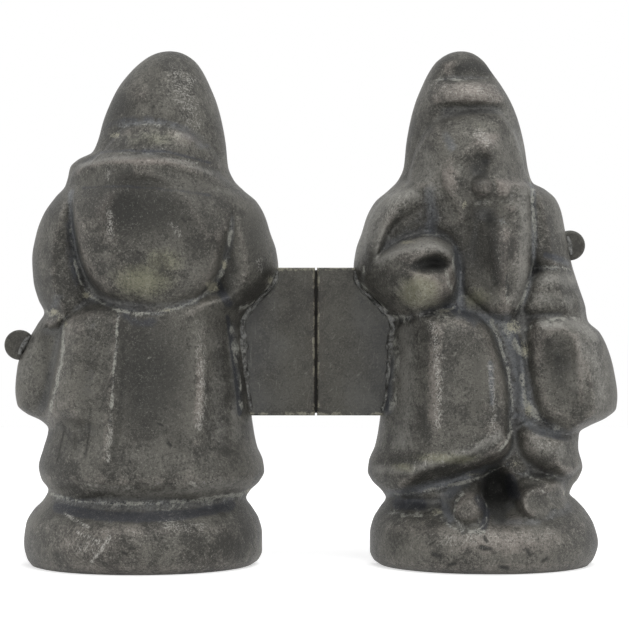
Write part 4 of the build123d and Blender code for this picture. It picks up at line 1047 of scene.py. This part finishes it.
def stain_layers(masks, look):
    """Soot, dark bluish, black and green stains with ragged edges; the dark and black ones also paint shade
    into hollows and under overhangs, and the green ones paint some light.
    """
    return [((masks.sooty + masks.ragged * 0.7).step(0.25, 0.85) * 0.75, look.pewter_black),
            ((masks.dark + masks.ragged * 1.1).step(0.30, 0.75) * 0.75, look.pewter_navy),
            ((masks.black + masks.ragged * 1.4).step(0.20, 1.20) * 0.95, look.pewter_black),
            ((masks.green * 0.9 + masks.ragged * 0.8).step(0.25, 0.95) * 0.75, look.verdigris)]


def chalk_layers(masks, look):
    """Thin bloom, chalk and crust in the creases, broken by dark gaps."""
    held_back = masks.hollow * 0.10 + masks.sooty * 0.3
    bloom = (masks.chalk * 0.60 + masks.crease * 0.22 + masks.broken - held_back).step(0.45, 0.85)
    fibrous = (masks.fibres + masks.grain * 0.4).step(0.52, 0.74)
    crust = (masks.cream * 0.9 + masks.broken * 0.9).step(0.42, 0.80) * masks.cream.step(0.08, 0.45)
    dips = (1 - masks.blotch).step(0.52, 0.62) * (1 - masks.grain).step(0.44, 0.60)
    return [(bloom * 0.55, look.bloom),
            (masks.core * fibrous * 0.85, look.deposit),
            (crust * 0.85, look.cream),
            ((masks.chalk + masks.cream).step(0.2, 0.7) * dips * 0.8, look.pewter_navy)]


def scratch_layers(masks, look):
    """Scratches, scuffs, flecks and pits, and the cleaner inside."""
    scuffed = (masks.scuff * 0.45 + masks.broken).step(0.40, 0.95) * masks.scuff
    flecks = masks.grain.step(0.52, 0.64) * masks.speckle.step(0.48, 0.58)
    return [(masks.lines * (0.35 + masks.scuff * 0.40 + masks.rubbed * 0.3), look.scratch),
            (scuffed * 0.55, look.scratch),
            (flecks * (0.26 + masks.rubbed * 0.4), look.deposit),
            (masks.pits * 0.70, look.pewter_black),
            (masks.inside * 0.45, look.pewter_clean)]


def old_pewter(graph, look):
    """Dull cast pewter: mottled grey, worn bright and painted with highlights on its ridges, and dark or
    chalky in its creases, where shade is painted too.
    """
    masks = pewter_masks(graph)
    colour = graph.blend(masks.tone, look.pewter_dark, look.pewter_mid)
    for layers in (wear_layers, stain_layers, chalk_layers, scratch_layers):
        colour = graph.layered(colour, layers(masks, look))
    smoother = masks.rubbed * 0.10 + masks.inside * 0.1
    roughness = 0.50 + (masks.mottle - 0.5) * 0.25 + masks.core * 0.2 + masks.black * 0.2 - smoother
    metallic = (1 - masks.black.step(0.5, 1.4) * 0.9) * look.metallic
    height = (masks.mottle * 0.8 + masks.blotch * 0.6 + masks.grain * 0.40 + masks.speckle * 0.20
              + masks.lines * 0.10 - masks.pits * 0.2)
    graph.finish(colour, roughness, metallic, height, 0.22)


def sheet_metal(graph, look):
    """The darker sheet of the hinge leaves and lugs: flat, stained, and flaked at the leaves' edges."""
    broad = graph.noise(12, 3, 0.5)
    mottle = graph.noise(3.4, 6, 0.72, 0.6)
    grain = graph.noise(0.55, 3, 0.85)
    speckle = graph.noise(0.25, 2, 0.85)
    strokes = graph.strokes(0.36, 12.0, (0.1, 0.8, 2.2))
    coarse = (mottle - 0.5) * 1.2 + (broad - 0.5) * 1.1
    fine = (grain - 0.5) * 0.8 + (speckle - 0.5) * 0.7
    colour = graph.blend((coarse + fine + 0.48).step(0.22, 0.82), look.pewter_dark, look.sheet)
    from_pin = (graph.along(0) - pin_x).size_of()
    from_middle = (graph.along(2) - (leaf_top + leaf_bottom) / 2).size_of()
    half_height = (leaf_top - leaf_bottom) / 2
    on_leaf = 1 - from_pin.step(24, 26)
    outer = (from_pin * 0.07 + (broad - 0.5) * 1.4 + (grain - 0.5) * 0.6).step(0.45, 1.05)
    stained = ((4.0 - from_pin) * 0.20 + (mottle - 0.5) * 3.4 + (grain - 0.5)).step(0.3, 1.2)
    patches = (mottle + broad * 0.4 + (grain - 0.5) * 0.5).step(0.70, 0.95)
    by_gap = 1 - from_pin.step(0.55, 1.10)
    by_end = from_middle.step(half_height - 1.2, half_height - 0.4) * on_leaf
    flaking = by_gap * 0.6 + by_end * 0.8 + (mottle - 0.5) * 4.5 + (grain - 0.5) * 2.0
    flaked = flaking.step(0.50, 1.10) * (by_gap + by_end).step(0.1, 0.5)
    colour = graph.layered(colour, [
        (outer * on_leaf * 0.18, look.bluish),
        (stained * 0.30, look.rust),
        (patches * 0.45, look.pewter_black),
        (flaked * 0.5, look.cream),
        (strokes.step(0.61, 0.70) * mottle.step(0.42, 0.62) * 0.20, look.deposit),
        (grain.step(0.55, 0.68) * speckle.step(0.45, 0.58) * 0.15, look.deposit),
        ((1 - grain).step(0.54, 0.68) * (1 - speckle).step(0.45, 0.6) * 0.6, look.pewter_black)])
    roughness = 0.48 + (mottle - 0.5) * 0.3
    height = mottle * 0.9 + grain * 0.5 + speckle * 0.2
    graph.finish(colour, roughness, look.metallic, height, 0.16)


def barrel_metal(graph, look):
    """The blackened metal of the barrel and the pin behind the gap."""
    mottle = graph.noise(2.0, 5, 0.7, 0.4)
    grain = graph.noise(0.5, 3, 0.8)
    rusty = (mottle * 0.6 + grain * 0.4).step(0.42, 0.66)
    colour = graph.blend(rusty * 0.35, look.pewter_black, look.rust)
    roughness = 0.55 + (grain - 0.5) * 0.3
    graph.finish(colour, roughness, look.metallic * 0.5, mottle + grain * 0.5, 0.14)


def dull_solder(graph, look):
    """Lumpy solder in the tones of the casting, with dark flux in its dips and chalk on its lumps."""
    mottle = graph.noise(2.4, 6, 0.7, 0.8)
    grain = graph.noise(0.6, 4, 0.8)
    fibres = graph.noise(1.1, 6, 0.75, 2.4)
    tone = ((mottle - 0.5) * 1.2 + (grain - 0.5) * 0.8 + 0.5).step(0.30, 0.75)
    colour = graph.layered(graph.blend(tone, look.pewter_dark, look.pewter_mid), [
        ((1 - mottle).step(0.50, 0.64) * 0.7, look.pewter_black),
        ((grain + mottle - 0.5).step(0.35, 0.70) * 0.6, look.bloom),
        ((fibres + (mottle - 0.5) * 0.9).step(0.54, 0.66) * 0.65, look.solder)])
    roughness = 0.46 + (grain - 0.5) * 0.3
    graph.finish(colour, roughness, look.metallic, mottle + grain * 0.5, 0.30)


def tint(label, text, value):
    """A colour that a user can change."""
    return bpy.props.FloatVectorProperty(name=label, description=text, default=value, size=4,
                                         min=0, max=1, subtype="COLOR")


class MoldShape(bpy.types.PropertyGroup):
    """Sizes of the finer shapes."""

    unevenness: bpy.props.FloatProperty(name="Unevenness", default=1.0, min=0, max=2, subtype="FACTOR",
                                        description="Share of the casting's soft ripples")
    pit_depth: bpy.props.FloatProperty(name="Pit depth", default=0.12 * MM, min=0, subtype="DISTANCE",
                                       description="Depth of the deepest pits in the casting")
    solder_radius: bpy.props.FloatProperty(name="Solder", default=1.3 * MM, min=0, subtype="DISTANCE",
                                           description="Plain radius of the solder beside a leaf")


class MoldLook(bpy.types.PropertyGroup):
    """Colours and finish of the old metal."""

    pewter_dark: tint("Dark pewter", "Colour of the darker stains", (0.042, 0.040, 0.035, 1))
    pewter_mid: tint("Pewter", "Colour of most of the casting", (0.125, 0.120, 0.104, 1))
    # Also the colour of the painted highlights on ridges and lit faces
    pewter_worn: tint("Worn pewter", "Colour where handling has rubbed it", (0.235, 0.208, 0.185, 1))
    bluish: tint("Bluish pewter", "Colour of the bluish bands", (0.135, 0.143, 0.155, 1))
    rust: tint("Rust", "Colour of the brown stains beside the hinge gap", (0.060, 0.044, 0.032, 1))
    pewter_clean: tint("Clean pewter", "Colour of the cleaner hollows", (0.240, 0.235, 0.220, 1))
    # The bluish colour in the hollows is tarnish and painted shade
    pewter_blue: tint("Shaded pewter", "Bluish colour in the hollows", (0.100, 0.107, 0.120, 1))
    # Also the colour of painted shade in hollows, under overhangs and in the hole between the shoes
    pewter_black: tint("Soot", "Colour of the darkest stains", (0.020, 0.020, 0.018, 1))
    deposit: tint("Deposit", "Colour of the chalky lines in the creases", (0.370, 0.370, 0.330, 1))
    pale: tint("Pale pewter", "Colour of the paler bands", (0.222, 0.217, 0.197, 1))
    bloom: tint("Bloom", "Colour of the thin bluish chalk beside the creases", (0.225, 0.235, 0.240, 1))
    cream: tint("Crust", "Colour of the thick cream crust", (0.360, 0.345, 0.265, 1))
    # Also the colour of painted shade under the basket lip, the collar and the upper arm, and in grooves
    pewter_navy: tint("Blue stain", "Colour of the dark bluish streaks", (0.030, 0.033, 0.043, 1))
    scratch: tint("Scratch", "Colour of bright scratches", (0.400, 0.390, 0.360, 1))
    # The green spots also paint light onto the hand's lower face and the hem's top
    verdigris: tint("Green tint", "Colour of the greenish stains", (0.215, 0.212, 0.145, 1))
    sheet: tint("Sheet metal", "Colour of the hinge leaves", (0.095, 0.092, 0.078, 1))
    solder: tint("Solder", "Colour of the solder", (0.250, 0.245, 0.215, 1))
    metallic: bpy.props.FloatProperty(name="Metallic", description="How metallic the surfaces look",
                                      default=0.45, min=0, max=1, subtype="FACTOR")


class MoldStage(bpy.types.PropertyGroup):
    """Camera and lights."""

    camera_distance: bpy.props.FloatProperty(name="Camera distance", default=0.500, subtype="DISTANCE",
                                             description="Distance from the camera to the parting plane")
    camera_x: bpy.props.FloatProperty(name="Camera across", default=-0.00035, subtype="DISTANCE",
                                      description="How far the camera stands to the side of the pin")
    camera_height: bpy.props.FloatProperty(name="Camera height", default=0.0581, subtype="DISTANCE",
                                           description="Height of the camera above the table")
    view_width: bpy.props.FloatProperty(name="View width", default=0.1472, subtype="DISTANCE",
                                        description="Width of the view at the parting plane")
    key_watts: bpy.props.FloatProperty(name="Key light", default=2.5, subtype="POWER",
                                       description="Power of the soft light from above the camera")
    side_watts: bpy.props.FloatProperty(name="Side lights", default=0.6, subtype="POWER",
                                        description="Power of each soft light at the sides")
    sky: bpy.props.FloatProperty(name="Sky", default=0.42, min=0, max=1, subtype="FACTOR",
                                 description="Strength of the plain light from all round")


def dress(piece, maker):
    """Gives a piece the material of a maker, which is made once, under the maker's name."""
    name = maker.__name__
    material = bpy.data.materials.get(name)
    if material is None:
        material = bpy.data.materials.new(name)
        maker(Graph(material), bpy.context.scene.mold_look)
    piece.data.materials.clear()
    piece.data.materials.append(material)


class MOLD_OT_shells(bpy.types.Operator):
    """Makes the two cast shells"""

    bl_idname = "mold.shells"
    bl_label = "Cast shells"

    def execute(self, context):
        for half in sides:
            dress(shell_piece(half), old_pewter)
        return {"FINISHED"}


class MOLD_OT_hinge(bpy.types.Operator):
    """Finishes the hinge and makes its runs of solder"""

    bl_idname = "mold.hinge"
    bl_label = "Hinge"

    def execute(self, context):
        for name, node in frame["nodes"].items():
            if "hinge" in name or "knuckle" in name:
                dress(node, sheet_metal if "leaf" in name else barrel_metal)
        for half in sides:
            dress(solder_run(half), dull_solder)
        return {"FINISHED"}


class MOLD_OT_lugs(bpy.types.Operator):
    """Finishes the lugs and their solder"""

    bl_idname = "mold.lugs"
    bl_label = "Opening lugs"

    def execute(self, context):
        for name, node in frame["nodes"].items():
            if "lug" in name:
                dress(node, dull_solder if "solder" in name else sheet_metal)
        return {"FINISHED"}


# The lamps: place and width in metres, and the stage's value for the power
lamps = {
    "key_light": ((0.12, -0.28, 0.70), 0.40, "key_watts"),
    "left_light": ((-0.60, -0.10, 0.25), 0.50, "side_watts"),
    "right_light": ((0.60, -0.10, 0.25), 0.50, "side_watts")}

# The floor: how far it reaches in metres, its tone, and how much it glows where it is seen
floor_reach = 0.6
floor_tone = (0.85, 0.85, 0.85, 1)
floor_roughness = 0.9
floor_glow = 0.55


class MOLD_OT_stage(bpy.types.Operator):
    """Sets up the floor, the lights and the camera"""

    bl_idname = "mold.stage"
    bl_label = "Stage"

    def execute(self, context):
        stage = context.scene.mold_stage
        white_world(stage)
        pale_floor()
        middle = (pin_x * MM, pin_y * MM, stage.camera_height)
        for name, (place, size, power) in lamps.items():
            soft_light(name, place, size, getattr(stage, power), middle)
        camera = bpy.data.cameras.new("camera")
        camera.lens = camera.sensor_width * stage.camera_distance / stage.view_width
        camera.clip_start = 0.01
        stand = bpy.data.objects.new("camera", camera)
        stand.location = (pin_x * MM + stage.camera_x, pin_y * MM - stage.camera_distance,
                          stage.camera_height)
        stand.rotation_euler = (math.pi / 2, 0, 0)
        context.scene.collection.objects.link(stand)
        context.scene.camera = stand
        context.scene.view_settings.view_transform = "Standard"
        return {"FINISHED"}


def white_world(stage):
    """A plain grey light from all round, seen as white."""
    world = bpy.data.worlds.new("studio")
    bpy.context.scene.world = world
    graph = Graph(world)
    strength = stage.sky + graph.seen() * (1 - stage.sky)
    light = graph.node("ShaderNodeBackground", {}, {"Color": (1, 1, 1, 1), "Strength": strength})
    graph.node("ShaderNodeOutputWorld", {}, {"Surface": light})


def pale_floor():
    """A pale floor under the foot, which keeps a faint shadow and is seen as white."""
    mesh = bpy.data.meshes.new("floor")
    corners = [(x * floor_reach, y * floor_reach, 0) for x, y in ((-1, -1), (1, -1), (1, 1), (-1, 1))]
    mesh.from_pydata(corners, [], [(0, 1, 2, 3)])
    floor = bpy.data.objects.new("floor", mesh)
    bpy.context.scene.collection.objects.link(floor)
    material = bpy.data.materials.new("pale_floor")
    graph = Graph(material)
    surface = graph.node("ShaderNodeBsdfPrincipled", {},
                         {"Base Color": floor_tone, "Roughness": floor_roughness,
                          "Emission Color": (1, 1, 1, 1), "Emission Strength": graph.seen() * floor_glow})
    graph.node("ShaderNodeOutputMaterial", {}, {"Surface": surface})
    mesh.materials.append(material)


def soft_light(name, place, size, watts, target):
    """A square soft light that faces the target."""
    light = bpy.data.lights.new(name, "AREA")
    light.size = size
    light.energy = watts
    lamp = bpy.data.objects.new(name, light)
    lamp.location = place
    direction = np.array(target) - np.array(place)
    turn = math.atan2(direction[1], direction[0]) - math.pi / 2
    tilt = math.atan2(math.hypot(direction[0], direction[1]), -direction[2])
    lamp.rotation_euler = (tilt, 0, turn)
    bpy.context.scene.collection.objects.link(lamp)


class MOLD_PT_panel(bpy.types.Panel):
    """Lists the steps in the sidebar"""

    bl_label = "Figure Mold"
    bl_space_type = "VIEW_3D"
    bl_region_type = "UI"
    bl_category = "Figure Mold"

    def draw(self, context):
        for step in steps:
            self.layout.operator(step.bl_idname)
        for group in (context.scene.mold_shape, context.scene.mold_look, context.scene.mold_stage):
            for name in group.__annotations__:
                self.layout.prop(group, name)


steps = (MOLD_OT_stage, MOLD_OT_shells, MOLD_OT_hinge, MOLD_OT_lugs)
classes = (MoldShape, MoldLook, MoldStage, *steps, MOLD_PT_panel)


def register():
    for one in classes:
        bpy.utils.register_class(one)
    bpy.types.Scene.mold_shape = bpy.props.PointerProperty(type=MoldShape)
    bpy.types.Scene.mold_look = bpy.props.PointerProperty(type=MoldLook)
    bpy.types.Scene.mold_stage = bpy.props.PointerProperty(type=MoldStage)


def unregister():
    del bpy.types.Scene.mold_stage
    del bpy.types.Scene.mold_look
    del bpy.types.Scene.mold_shape
    for one in reversed(classes):
        bpy.utils.unregister_class(one)


def main():
    register()
    bpy.ops.mold.stage()
    bpy.ops.mold.shells()
    bpy.ops.mold.hinge()
    bpy.ops.mold.lugs()


if __name__ == "__main__":
    main()
